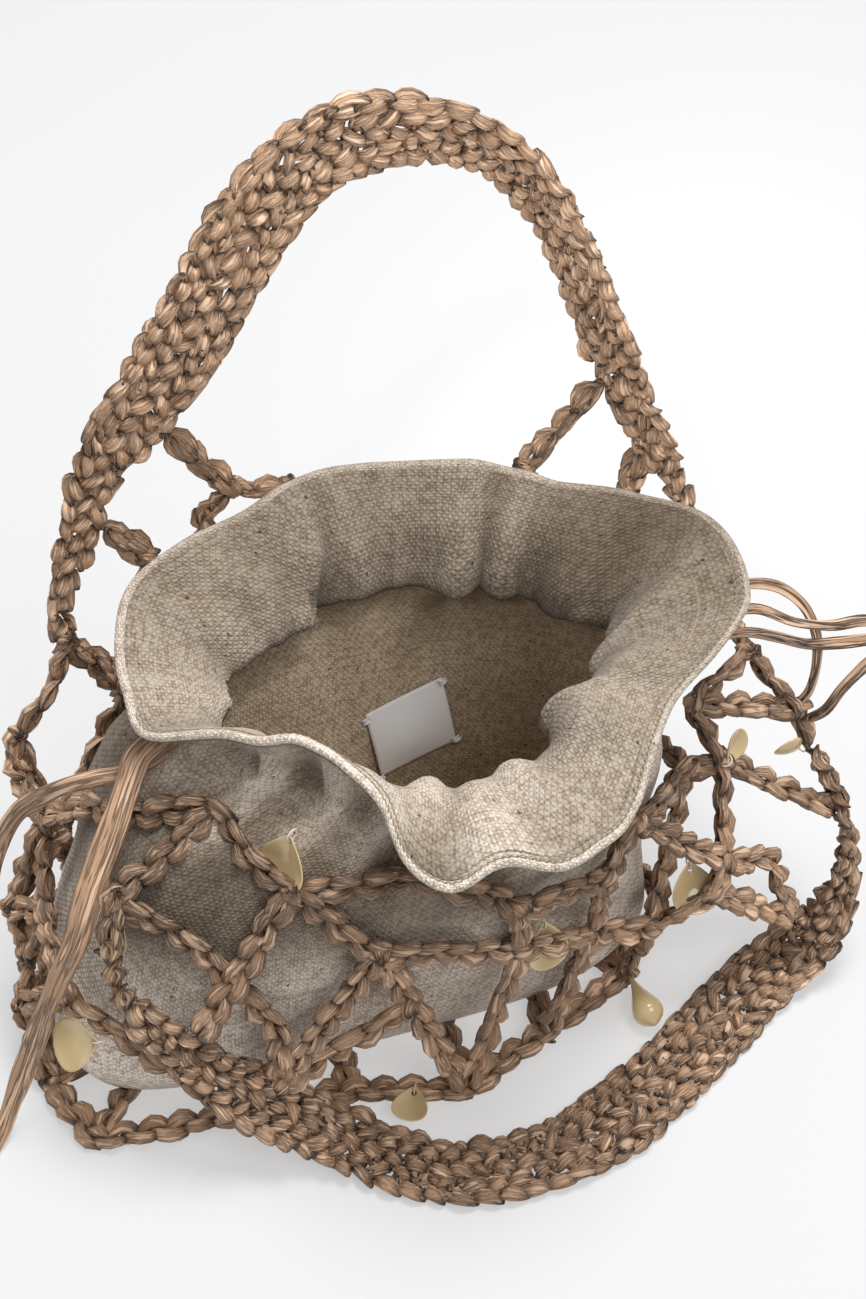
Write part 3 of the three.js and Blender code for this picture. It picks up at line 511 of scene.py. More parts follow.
def piece_from(name, bm, material):
    """A finished object from a bmesh in millimetres, at the origin and riding on the bag's body."""
    bmesh.ops.scale(bm, vec=(MM, MM, MM), verts=bm.verts)
    mesh = bpy.data.meshes.new(name)
    bm.to_mesh(mesh)
    bm.free()
    return place_mesh(name, mesh, material)


def place_mesh(name, mesh, material):
    """An object for a mesh, with one material, riding on the bag's body."""
    mesh.materials.append(material)
    mesh.shade_smooth()
    piece = bpy.data.objects.new(name, mesh)
    bpy.context.scene.collection.objects.link(piece)
    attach(piece, BODY)
    return piece


def unit(vectors):
    """Vectors scaled to length one."""
    return vectors / np.maximum(np.linalg.norm(vectors, axis=-1, keepdims=True), 1e-9)


def smooth_value(xs, ys, x):
    """A smooth value between the rows of a table."""
    xs, ys, x = np.asarray(xs, float), np.asarray(ys, float), np.asarray(x, float)
    slope = np.gradient(ys, xs)
    i = np.clip(np.searchsorted(xs, x) - 1, 0, len(xs) - 2)
    span = xs[i + 1] - xs[i]
    t = np.clip((x - xs[i]) / span, 0, 1)
    a, b = ys[i], ys[i + 1]
    m, n = slope[i] * span, slope[i + 1] * span
    return a + m * t + (3 * (b - a) - 2 * m - n) * t**2 + (2 * (a - b) + m + n) * t**3


def around_value(rows, column, degrees):
    """A smooth value of a table that closes on itself after a full turn."""
    full_turn = 360 * np.eye(1, rows.shape[1])
    wrapped = np.vstack([rows[-3:] - full_turn, rows, rows[:3] + full_turn])
    turned = np.mod(np.asarray(degrees, float) - rows[0, 0], 360) + rows[0, 0]
    return smooth_value(wrapped[:, 0], wrapped[:, column], turned)


def route_points(stops, per_span):
    """Points on a centripetal curve through the stops, so many to each span."""
    p = np.asarray(stops, float)
    p = np.vstack([2 * p[0] - p[1], p, 2 * p[-1] - p[-2]])
    out = []
    for i in range(1, len(p) - 2):
        d = np.sqrt(np.maximum(np.linalg.norm(np.diff(p[i - 1 : i + 3], axis=0), axis=1), 1e-4))
        a, b = p[i], p[i + 1]
        m = (a - p[i - 1]) / d[0] - (b - p[i - 1]) / (d[0] + d[1]) + (b - a) / d[1]
        n = (b - a) / d[1] - (p[i + 2] - a) / (d[1] + d[2]) + (p[i + 2] - b) / d[2]
        m, n = m * d[1], n * d[1]
        t = np.linspace(0, 1, per_span, endpoint=False)[:, None]
        out.append(a + m * t + (3 * (b - a) - 2 * m - n) * t**2 + (2 * (a - b) + m + n) * t**3)
    return np.vstack(out + [p[-2:-1]])


def walk(points):
    """Distance walked along points."""
    return np.concatenate([[0], np.cumsum(np.linalg.norm(np.diff(points, axis=0), axis=1))])


class Run:
    """A line with its side and its upper face, read at any distance along it."""

    def __init__(self, points, faces):
        self.points, self.along = points, walk(points)
        tangent = unit(np.gradient(points, axis=0))
        self.side = unit(np.cross(faces, tangent))
        self.face = unit(np.cross(tangent, self.side))

    def at(self, distance):
        """Place, side and face at distances along the line, running straight on past its ends."""
        place, side, face = (
            np.stack([np.interp(distance, self.along, rows[:, k]) for k in range(3)], -1)
            for rows in (self.points, self.side, self.face)
        )
        first = unit(self.points[1] - self.points[0])
        last = unit(self.points[-1] - self.points[-2])
        place = place + np.minimum(distance, 0)[..., None] * first
        place = place + np.maximum(distance - self.along[-1], 0)[..., None] * last
        return place, unit(side), unit(face)


def section_at(up):
    """The pouch's section at heights, column by column."""
    up = np.clip(up, POUCH_SECTIONS[0, 0], POUCH_SECTIONS[-1, 0])
    return [smooth_value(POUCH_SECTIONS[:, 0], POUCH_SECTIONS[:, k], up) for k in range(1, 7)]


def wall_reach(up, angle):
    """How far the pouch wall stands from its middle at heights and angles."""
    _, _, long, deep, square, turn = section_at(up)
    a = angle - np.radians(turn)
    across = np.abs(np.cos(a) / long) ** square
    return (across + np.abs(np.sin(a) / deep) ** square) ** (-1 / square)


def turned_from(degrees, way):
    """How many degrees angles lie to either side of a way."""
    return np.mod(degrees - way + 180, 360) - 180


def smooth_step(value, low, high):
    """A smooth rise from 0 at a low value to 1 at a high one."""
    t = np.clip((value - low) / (high - low), 0, 1)
    return t * t * (3 - 2 * t)


def pleat_depth(angle):
    """How far the pleats pull the cloth in at angles, and let it out between them."""
    away = turned_from(np.degrees(angle)[..., None], PLEATS[:, 0])
    return np.max(PLEATS[:, 1] * np.exp(-((away / PLEATS[:, 2]) ** 2)), axis=-1) - PLEAT_BULGE


def header_fold(angle, column):
    """How far the broad folds lean in, or how much they lift the cloth, at angles."""
    away = turned_from(np.degrees(angle)[..., None], HEADER_FOLDS[:, 0])
    return np.sum(HEADER_FOLDS[:, column] * np.exp(-((away / HEADER_FOLDS[:, 2]) ** 2)), axis=-1)


def lapped(angle, t):
    """How far the lapped folds lean in at angles, from the neck (0) to the rim (1)."""
    line = OVERLAPS[:, 0] + (OVERLAPS[:, 1] - OVERLAPS[:, 0]) * t
    away = turned_from(np.degrees(angle)[..., None], line) * np.sign(OVERLAPS[:, 3])
    run_on, edge = np.exp(-np.abs(away / OVERLAPS[:, 3])), np.exp(-np.abs(away) / LAP_EDGE)
    return np.sum(OVERLAPS[:, 2] * np.where(away > 0, run_on, edge), axis=-1) * (1 - t) ** LAP_FADE


def mouth_slack(angle):
    """How far the neck hangs open at angles."""
    return MOUTH_SLACK * np.clip(0.5 + 0.6 * np.cos(angle - MOUTH_WAY), 0, 1)


def wavy(points, size, seed):
    """Smooth noise at points, about -1 to 1, with waves of a size in millimetres."""
    shift = Vector((seed * 17.3, seed * 5.1, seed * 9.7))
    return np.array([noise.noise(Vector(p) / size + shift) for p in np.reshape(points, (-1, 3))])


# Materials


def linen(name, settings, tint):
    """Natural linen, plain woven and washed: matt, uneven threads with slubs and open gaps."""
    material, add = new_material(name)
    uv = add("ShaderNodeUVMap", uv_map="threads")
    sway = add("ShaderNodeTexNoise", {"Vector": uv, "Scale": SWAY, "Detail": 2.0}).outputs["Color"]
    offset = add("ShaderNodeVectorMath", {0: sway, 1: SWAY_BY}, operation="MULTIPLY")
    moved = add("ShaderNodeVectorMath", {0: uv, 1: offset})
    turns = math.pi / settings.thread
    phase = add("ShaderNodeVectorMath", {0: moved, "Scale": turns}, operation="SCALE")
    waves = add("ShaderNodeVectorMath", {0: phase}, operation="SINE")
    over = add("ShaderNodeSeparateXYZ", {0: waves}).outputs
    checker = add("ShaderNodeMath", {0: over["X"], 1: over["Y"]}, operation="MULTIPLY")
    solid = add("ShaderNodeVectorMath", {0: waves}, operation="ABSOLUTE")
    wide = add("ShaderNodeSeparateXYZ", {0: solid}).outputs
    thread = add("ShaderNodeMath", {0: wide["X"], 1: wide["Y"]}, operation="MAXIMUM")
    # Slubs: each thread of the weft and the warp has its own tone along its length.
    yarns = []
    for scale in ((SLUB_ALONG, SLUB_ACROSS, 1.0), (SLUB_ACROSS, SLUB_ALONG, 1.0)):
        drawn = add("ShaderNodeMapping", {"Vector": moved, "Scale": scale})
        yarns.append(add("ShaderNodeTexNoise", {"Vector": drawn, "Scale": 1.0, "Detail": 1.0}))
    slub = add("ShaderNodeMath", dict(enumerate(yarns)), operation="ADD")
    tone = add("ShaderNodeMapRange", {"Value": slub, "From Min": 0.74, "From Max": 1.24})
    # Where the yarn is thick it closes the gaps beside it.
    plump = add("ShaderNodeMath", {0: tone, 1: 0.35, 2: thread}, operation="MULTIPLY_ADD")
    gap = add("ShaderNodeMapRange", {"Value": plump, "From Min": -0.08, "From Max": 1.0})
    washed = add("ShaderNodeTexNoise", {"Vector": uv, "Scale": WASH, "Detail": 3.0})
    patch = add(
        "ShaderNodeMapRange",
        {"Value": washed, "From Min": 0.3, "From Max": 0.7, "To Min": -0.14, "To Max": 0.14},
    )
    cloudy = add("ShaderNodeMath", {0: tone, 1: patch}, operation="ADD")
    # The thread on top at a crossing is lighter than the one that dives under.
    mixed = add("ShaderNodeMath", {0: checker, 1: 0.42, 2: cloudy}, operation="MULTIPLY_ADD")
    light, mid, dark = linear(settings.light), linear(settings.mid), linear(settings.dark)
    body = add("ShaderNodeMix", {FACTOR: mixed, FIRST: mid, SECOND: light}, data_type="RGBA")
    woven = add("ShaderNodeMix", {FACTOR: gap, FIRST: dark, SECOND: body}, data_type="RGBA")
    # Dark flecks of straw in the yarn.
    fleck = add("ShaderNodeTexNoise", {"Vector": uv, "Scale": STRAW, "Detail": 0.0})
    straw = add("ShaderNodeMapRange", {"Value": fleck, "From Min": 0.78, "From Max": 0.84})
    flecked = add("ShaderNodeMix", {FACTOR: straw, FIRST: woven, SECOND: dark}, data_type="RGBA")
    # The cloth's shade colour is painted shade and light: folds, under the hem, back right, header.
    painted_shade = add("ShaderNodeAttribute", attribute_name="shade")
    times = {"data_type": "RGBA", "blend_type": "MULTIPLY"}
    shaded = add("ShaderNodeMix", {FACTOR: 1.0, FIRST: flecked, SECOND: painted_shade}, **times)
    tinted = add("ShaderNodeMix", {FACTOR: 1.0, FIRST: shaded, SECOND: [*tint, 1.0]}, **times)
    relief = add("ShaderNodeMath", {0: checker, 1: 0.5, 2: thread}, operation="MULTIPLY_ADD")
    bump = add("ShaderNodeBump", {"Height": relief, "Strength": 0.7, "Distance": 0.5 * MM})
    return surfaced(material, add, {
        "Base Color": tinted, "Normal": bump, "Roughness": 0.92, "Specular IOR Level": 0.2,
        "Sheen Weight": 0.12, "Sheen Roughness": 0.6,
    })


def raffia(name, settings, creased):
    """Paper raffia twisted from a flat strip: dry, with long creases that catch the light and hold
    painted shade.
    """
    material, add = new_material(name)
    grain = add("ShaderNodeAttribute", attribute_name="grain").outputs["Vector"]
    tone = add("ShaderNodeAttribute", attribute_name="tone").outputs["Fac"]
    drawn = add("ShaderNodeMapping", {"Vector": grain, "Scale": CREASES})
    paper = add(
        "ShaderNodeTexNoise",
        {"Vector": drawn, "Scale": 1.0, "Detail": 3.0, "Roughness": 0.55, "Distortion": 0.4},
    )
    # A crease lies wherever the paper's noise crosses its middle, so it shows as a thin line.
    middle = add("ShaderNodeMath", {0: paper, 1: 0.5}, operation="SUBTRACT")
    crease = add("ShaderNodeMath", {0: middle}, operation="ABSOLUTE")
    folds = add("ShaderNodeMapRange", {"Value": crease, "From Min": 0.0, "From Max": 0.08})
    lit = add("ShaderNodeMapRange", {"Value": paper, "From Min": 0.32, "From Max": 0.68})
    light, mid, dark = linear(settings.light), linear(settings.mid), linear(settings.dark)
    strip = add("ShaderNodeMix", {FACTOR: lit, FIRST: mid, SECOND: light}, data_type="RGBA")
    # Painted shade in the creases, and at buried ends and edges through the tone, with each leaf's
    # random tone.
    depth = add("ShaderNodeMath", {0: folds, 1: creased, 2: tone}, operation="MULTIPLY_ADD")
    kept = add("ShaderNodeMath", {0: depth, 1: 0.14}, operation="SUBTRACT")
    colour = add("ShaderNodeMix", {FACTOR: kept, FIRST: dark, SECOND: strip}, data_type="RGBA")
    crumpled = add("ShaderNodeMapping", {"Vector": grain, "Scale": FACETS})
    facets = add("ShaderNodeTexVoronoi", {"Vector": crumpled, "Scale": 1.0})
    height = add("ShaderNodeMath", {0: facets, 1: 0.9, 2: folds}, operation="MULTIPLY_ADD")
    bump = add("ShaderNodeBump", {"Height": height, "Strength": 0.9, "Distance": 0.8 * MM})
    return surfaced(material, add, {
        "Base Color": colour, "Normal": bump, "Roughness": 0.55, "Specular IOR Level": 0.4,
    })


def polished_shell(name, settings):
    """River shell, cut and polished: cream with faint growth bands and a wet gloss."""
    material, add = new_material(name)
    spot = add("ShaderNodeTexCoord").outputs["Object"]
    wave = {"Vector": spot, "Scale": BANDS, "Distortion": 9.0, "Detail": 2.0}
    band = add("ShaderNodeTexWave", wave).outputs["Fac"]
    soft = add("ShaderNodeMapRange", {"Value": band, "To Min": 0.0, "To Max": 0.3})
    pale, dark = linear(settings.shell), linear(settings.shell_dark)
    colour = add("ShaderNodeMix", {FACTOR: soft, FIRST: pale, SECOND: dark}, data_type="RGBA")
    return surfaced(material, add, {
        "Base Color": colour, "Roughness": 0.16, "IOR": 1.53, "Coat Weight": 0.4,
        "Coat Roughness": 0.08,
    })


def satin_ribbon(name, colour):
    """Woven satin: a close smooth face with a soft sheen and fine ribs."""
    material, add = new_material(name)
    uv = add("ShaderNodeUVMap", uv_map="threads")
    rib = add("ShaderNodeTexWave", {"Vector": uv, "Scale": RIBS, "Distortion": 1.0}).outputs["Fac"]
    tint = add("ShaderNodeMapRange", {"Value": rib, "To Min": 0.0, "To Max": 0.12})
    base = linear(colour)
    two = {FACTOR: tint, FIRST: base, SECOND: darker(base, 0.7)}
    shade = add("ShaderNodeMix", two, data_type="RGBA")
    bump = add("ShaderNodeBump", {"Height": rib, "Strength": 0.15, "Distance": 0.2 * MM})
    return surfaced(material, add, {
        "Base Color": shade, "Normal": bump, "Roughness": 0.38, "Sheen Weight": 0.3,
    })


def sewing_thread(name, colour):
    """Sewing thread: a matt twisted yarn, with painted shade where it dives into the cloth."""
    material, add = new_material(name)
    tone = add("ShaderNodeAttribute", attribute_name="tone").outputs["Fac"]
    base = linear(colour)
    two = {FACTOR: tone, FIRST: darker(base, 0.5), SECOND: base}
    mix = add("ShaderNodeMix", two, data_type="RGBA")
    return surfaced(material, add, {"Base Color": mix, "Roughness": 0.8})


def floor_paint(name, colour):
    """White studio sweep, lit through from below as well, so that shadows on it stay pale."""
    material, add = new_material(name)
    spot = add("ShaderNodeTexCoord").outputs["Object"]
    cloud = add("ShaderNodeTexNoise", {"Vector": spot, "Scale": 2.0})
    base = linear(colour)
    two = {FACTOR: cloud, FIRST: base, SECOND: darker(base, 0.985)}
    blend = add("ShaderNodeMix", two, data_type="RGBA")
    return surfaced(material, add, {
        "Base Color": blend, "Emission Color": (1.0, 1.0, 1.0, 1.0), "Emission Strength": 0.44,
        "Roughness": 0.85,
    })


# Crochet: every stitch is laid from one closed, creased leaf of ribbon


class Leaf:
    """One closed leaf of ribbon: where each vertex lies along it and round it, and its faces."""

    def __init__(self, sides, rings):
        bm = bmesh.new()
        bmesh.ops.create_uvsphere(bm, u_segments=sides, v_segments=rings, radius=1.0)
        co = np.array([v.co for v in bm.verts])
        self.along = (co[:, 2] + 1) / 2
        self.full = np.hypot(co[:, 0], co[:, 1])
        self.turn = np.arctan2(co[:, 1], co[:, 0])
        self.sides = sides
        share = np.mod(self.turn, 2 * np.pi) / (2 * np.pi / sides)
        self.column = np.rint(share).astype(int) % sides
        self.faces = [[v.index for v in f.verts] for f in bm.faces]
        bm.free()


def leaf_rows(count, **values):
    """Columns for a set of leaves, a number or one per leaf each. What isn't given is nought."""
    rows = {**LEAF_AT_REST, **values}
    return {k: np.broadcast_to(np.asarray(v, float), (count,)) for k, v in rows.items()}


def lay_leaves(run, leaf, rows, rng):
    """Places, grain and tone of leaves laid along a run."""
    n = len(rows["at"])
    column = {k: v[:, None] for k, v in rows.items()}
    a, full, turn = leaf.along[None], leaf.full[None], leaf.turn[None]
    rise = np.sin(np.pi * a)
    distance = column["at"] + (a - 0.5) * column["length"]
    side = column["side0"] + (column["side1"] - column["side0"]) * a + column["side_bow"] * rise
    lift = column["lift0"] + (column["lift1"] - column["lift0"]) * a + column["lift_bow"] * rise
    seed = rng.uniform(0, 2 * np.pi, (n, 3))
    first, last = rng.uniform(*LEAF_RIDGES, (2, n, leaf.sides))
    ridge = first[:, leaf.column] * (1 - a) + last[:, leaf.column] * a
    round_off = full**LEAF_END
    flat = np.abs(np.sin(turn)) ** LEAF_FLAT * np.sign(np.sin(turn))
    x = 0.5 * column["width"] * round_off * np.cos(turn) * (0.5 + 0.5 * ridge)
    y = 0.5 * column["thick"] * round_off * flat * ridge
    y = y - column["fold"] * full * (np.abs(np.cos(turn)) - 0.5)
    roll = column["roll"] + column["twist"] * (a - 0.5)
    across = x * np.cos(roll) - y * np.sin(roll)
    out = x * np.sin(roll) + y * np.cos(roll)
    place, side_way, face_way = run.at(distance)
    points = place + side_way * (side + across)[..., None] + face_way * (lift + out)[..., None]
    # Each leaf reads its own stretch of the paper.
    own = seed[:, None] * LEAF_GRAIN
    grain = np.stack([x, y, np.broadcast_to(a * column["length"], x.shape)], -1) + own
    # Painted shade: a leaf is darkest where its ends are buried, and dark along its edges.
    buried = np.clip(1.3 * np.sin(np.pi * np.clip(a, 0.02, 0.98)) ** 1.5, 0.03, 1)
    tone = column["tone"] * buried * (1.04 - 0.56 * np.cos(turn) ** 6)
    return points.reshape(-1, 3), grain.reshape(-1, 3) * MM, tone.reshape(-1)


def leaves_mesh(name, leaf, laid):
    """One mesh of all the leaves that were laid."""
    points = np.vstack([p for p, _, _ in laid]) * MM
    points[:, 2] = np.maximum(points[:, 2], LEAST_UP * MM)
    grain = np.vstack([g for _, g, _ in laid])
    tone = np.concatenate([t for _, _, t in laid])
    size = len(leaf.along)
    copies = len(points) // size
    quads = np.array([f for f in leaf.faces if len(f) == 4])
    caps = np.array([f for f in leaf.faces if len(f) == 3])
    shift = np.arange(copies)[:, None, None] * size
    faces = [row for f in (quads, caps) for row in (f + shift).reshape(-1, f.shape[1]).tolist()]
    mesh = bpy.data.meshes.new(name)
    mesh.from_pydata(points.tolist(), [], faces)
    mesh.attributes.new("grain", "FLOAT_VECTOR", "POINT").data.foreach_set("vector", grain.ravel())
    mesh.attributes.new("tone", "FLOAT", "POINT").data.foreach_set("value", tone)
    mesh.update()
    # Folds run the length of each leaf, so those edges stay crisp.
    ends = np.zeros(2 * len(mesh.edges), int)
    mesh.edges.foreach_get("vertices", ends)
    ends = ends.reshape(-1, 2) % size
    lengthwise = leaf.column[ends[:, 0]] == leaf.column[ends[:, 1]]
    crisp = lengthwise & (leaf.full[ends].min(axis=1) > 0.1)
    mesh.attributes.new("sharp_edge", "BOOLEAN", "EDGE").data.foreach_set("value", crisp)
    return mesh


def net_knots():
    """Every knot's place by name, with the rows at the back of the pouch."""
    knots = {name: np.array(place, float) for name, place in NET_KNOTS.items()}
    for name, up, first, last, count in BACK_ROWS:
        level = max(up, BASE_UP)
        x, y = section_at(level)[:2]
        for i in range(count):
            angle = math.radians(first + (last - first) * i / (count - 1))
            reach = wall_reach(level, angle) + NET_STANDOFF
            place = (x + reach * math.cos(angle), y + reach * math.sin(angle), up)
            knots[f"{name}_{i}"] = np.array(place)
    return knots


def net_chains(knots):
    """Every chain as a list of stops."""
    chains = [chain.split() for chain in NET_CHAINS]
    for upper, lower in zip(BACK_ROWS, BACK_ROWS[1:]):
        few, many = sorted((upper, lower), key=lambda row: row[4])
        for i in range(few[4]):
            chains.append([f"{many[0]}_{i}", f"{few[0]}_{i}", f"{many[0]}_{i + 1}"])
    stops = [[knots[name] for name in chain] for chain in chains]
    along = np.linspace(FOUNDATION_FROM, FOUNDATION_TO, FOUNDATION_STOPS)
    stops.append([np.array((x, 0, FLOOR_CHAIN_UP)) for x in along])
    feet = FOUNDATION_FROM + FOUNDATION_INSET, FOUNDATION_TO - FOUNDATION_INSET
    for name in SPOKES.split():
        foot = np.array((np.clip(knots[name][0], *feet), 0, FLOOR_CHAIN_UP))
        stops.append([foot, knots[name]])
    return stops


def clear_of_pouch(p):
    """A point between two knots, pushed out where the pouch would be in its way."""
    if not BASE_UP <= p[2] <= NECK_UP:
        return p
    x, y = section_at(p[2])[:2]
    away = p[:2] - (x, y)
    wanted = wall_reach(p[2], math.atan2(away[1], away[0])) + BOW_STANDOFF
    scale = max(1.0, wanted / np.hypot(*away))
    return np.array((x + away[0] * scale, y + away[1] * scale, p[2]))


def outward(points):
    """The way that a chain's face looks: off the pouch, and up where it lies on the floor."""
    x, y = section_at(points[:, 2])[:2]
    away = unit(np.stack([(points[:, 0] - x) / 2.0, points[:, 1] - y, 0 * x], -1))
    low = np.clip((LOW_FROM - points[:, 2]) / LOW_BY, 0, 1)[:, None]
    return unit(away * (1 - 0.9 * low) + np.array((0, 0, 1.0)) * (0.35 + 0.8 * low))


# Operators


class BAG_OT_stage(bpy.types.Operator):
    """Make the camera, the pale floor and the soft studio light"""

    bl_idname = "net_bag.stage"
    bl_label = "Stage"

    def execute(self, context):
        s = context.scene.bag_stage
        lens = bpy.data.cameras.new("camera")
        lens.lens, lens.sensor_width, lens.clip_end = s.lens, SENSOR, 50.0
        camera = bpy.data.objects.new("camera", lens)
        camera.location = s.eye
        camera.rotation_euler = (math.pi / 2 - s.pitch, 0, s.turn)
        context.scene.collection.objects.link(camera)
        context.scene.camera = camera

        bm = bmesh.new()
        bmesh.ops.create_grid(bm, x_segments=1, y_segments=1, size=FLOOR_HALF)
        bmesh.ops.translate(bm, vec=(0, 0, -FLOOR_GAP), verts=bm.verts)
        mesh = bpy.data.meshes.new("floor")
        bm.to_mesh(mesh)
        bm.free()
        mesh.materials.append(floor_paint("white studio floor", s.floor))
        floor = bpy.data.objects.new("floor", mesh)
        context.scene.collection.objects.link(floor)

        world = bpy.data.worlds.new("soft white room")
        world.use_nodes = True
        sky = world.node_tree.nodes["Background"]
        sky.inputs["Color"].default_value = (1.0, 1.0, 1.0, 1.0)
        sky.inputs["Strength"].default_value = ROOM_LIGHT
        context.scene.world = world
        context.scene.view_settings.view_transform = "Standard"
        for name, place, aim, size, power, cone in LAMPS:
            lamp = bpy.data.lights.new(name, "SPOT" if cone else "AREA")
            lamp.energy = power
            if cone:
                lamp.shadow_soft_size, lamp.spot_blend = size, 1.0
                lamp.spot_size = math.radians(cone)
            else:
                lamp.shape, lamp.size = "DISK", size
            holder = bpy.data.objects.new(name, lamp)
            holder.location = place
            way = Vector(aim) - Vector(place)
            holder.rotation_euler = way.to_track_quat("-Z", "Y").to_euler()
            context.scene.collection.objects.link(holder)
        return {"FINISHED"}


class BAG_OT_ribbons(bpy.types.Operator):
    """Make the raffia ribbons that leave the gathered neck"""

    bl_idname = "net_bag.ribbons"
    bl_label = "Drawstring ribbons"

    def execute(self, context):
        material = raffia("paper raffia ribbon", context.scene.bag_raffia, RIBBON_CREASED)
        for number, tie in enumerate(TIES):
            self.ribbon(tie, np.random.default_rng(90 + number), material)
        return {"FINISHED"}

    def ribbon(self, tie, rng, material):
        """A flat ribbon with ridges along it, from where the cloth lets it go to its end."""
        node, width, thick, taper, tint, looks, start, end, route = tie
        line = route_points(route, 8)[start:]
        run = Run(line, np.tile(np.array(looks, float), (len(line), 1)))
        steps = max(24, int(run.along[-1] / RIBBON_STEP))
        distance = np.linspace(0, run.along[-1], steps + 1)
        place, side, face = run.at(distance)
        bm = bmesh.new()
        bmesh.ops.create_grid(bm, x_segments=steps, y_segments=RIBBON_SIDES, size=0.5)
        grid = np.array([v.co for v in bm.verts])
        i = np.rint((grid[:, 0] + 0.5) * steps).astype(int)
        turn = (grid[:, 1] + 0.5) * 2 * np.pi
        seed = rng.uniform(0, 6.28, 4)
        d = distance[i]
        narrow = 1 - taper * np.clip(d / run.along[-1], 0, 1)
        breath = 1 + BREATH_SLOW[0] * np.sin(d / BREATH_SLOW[1] + seed[0])
        breath = breath + BREATH_QUICK[0] * np.sin(d / BREATH_QUICK[1] + seed[1])
        wander = 4 * turn + seed[2] + 0.5 * np.sin(d / RIDGE[1])
        ridge = 1 + RIDGE[0] * np.sin(wander) * np.abs(np.sin(turn))
        x = 0.5 * width * narrow * breath * np.cos(turn)
        y = 0.5 * thick * np.sin(turn) * ridge
        lean = LEAN[0] * np.sin(d / LEAN[1] + seed[3])
        across = x * np.cos(lean) - y * np.sin(lean)
        out = x * np.sin(lean) + y * np.cos(lean)
        points = place[i] + side[i] * across[:, None] + face[i] * out[:, None]
        grain = bm.verts.layers.float_vector.new("grain")
        tone = bm.verts.layers.float.new("tone")
        own = Vector(seed[:3]) * 0.1
        for v, p, a, b, c in zip(bm.verts, points, x, y, d):
            v.co = p
            v[grain] = Vector((a, b, c * RIBBON_GRAIN)) * MM + own
            v[tone] = tint
        bmesh.ops.remove_doubles(bm, verts=bm.verts, dist=0.02)
        bmesh.ops.holes_fill(bm, edges=[e for e in bm.edges if e.is_boundary])
        bmesh.ops.recalc_face_normals(bm, faces=bm.faces)
        piece = piece_from("ribbon_" + node.removeprefix("drawstring_"), bm, material)
        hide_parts(node)


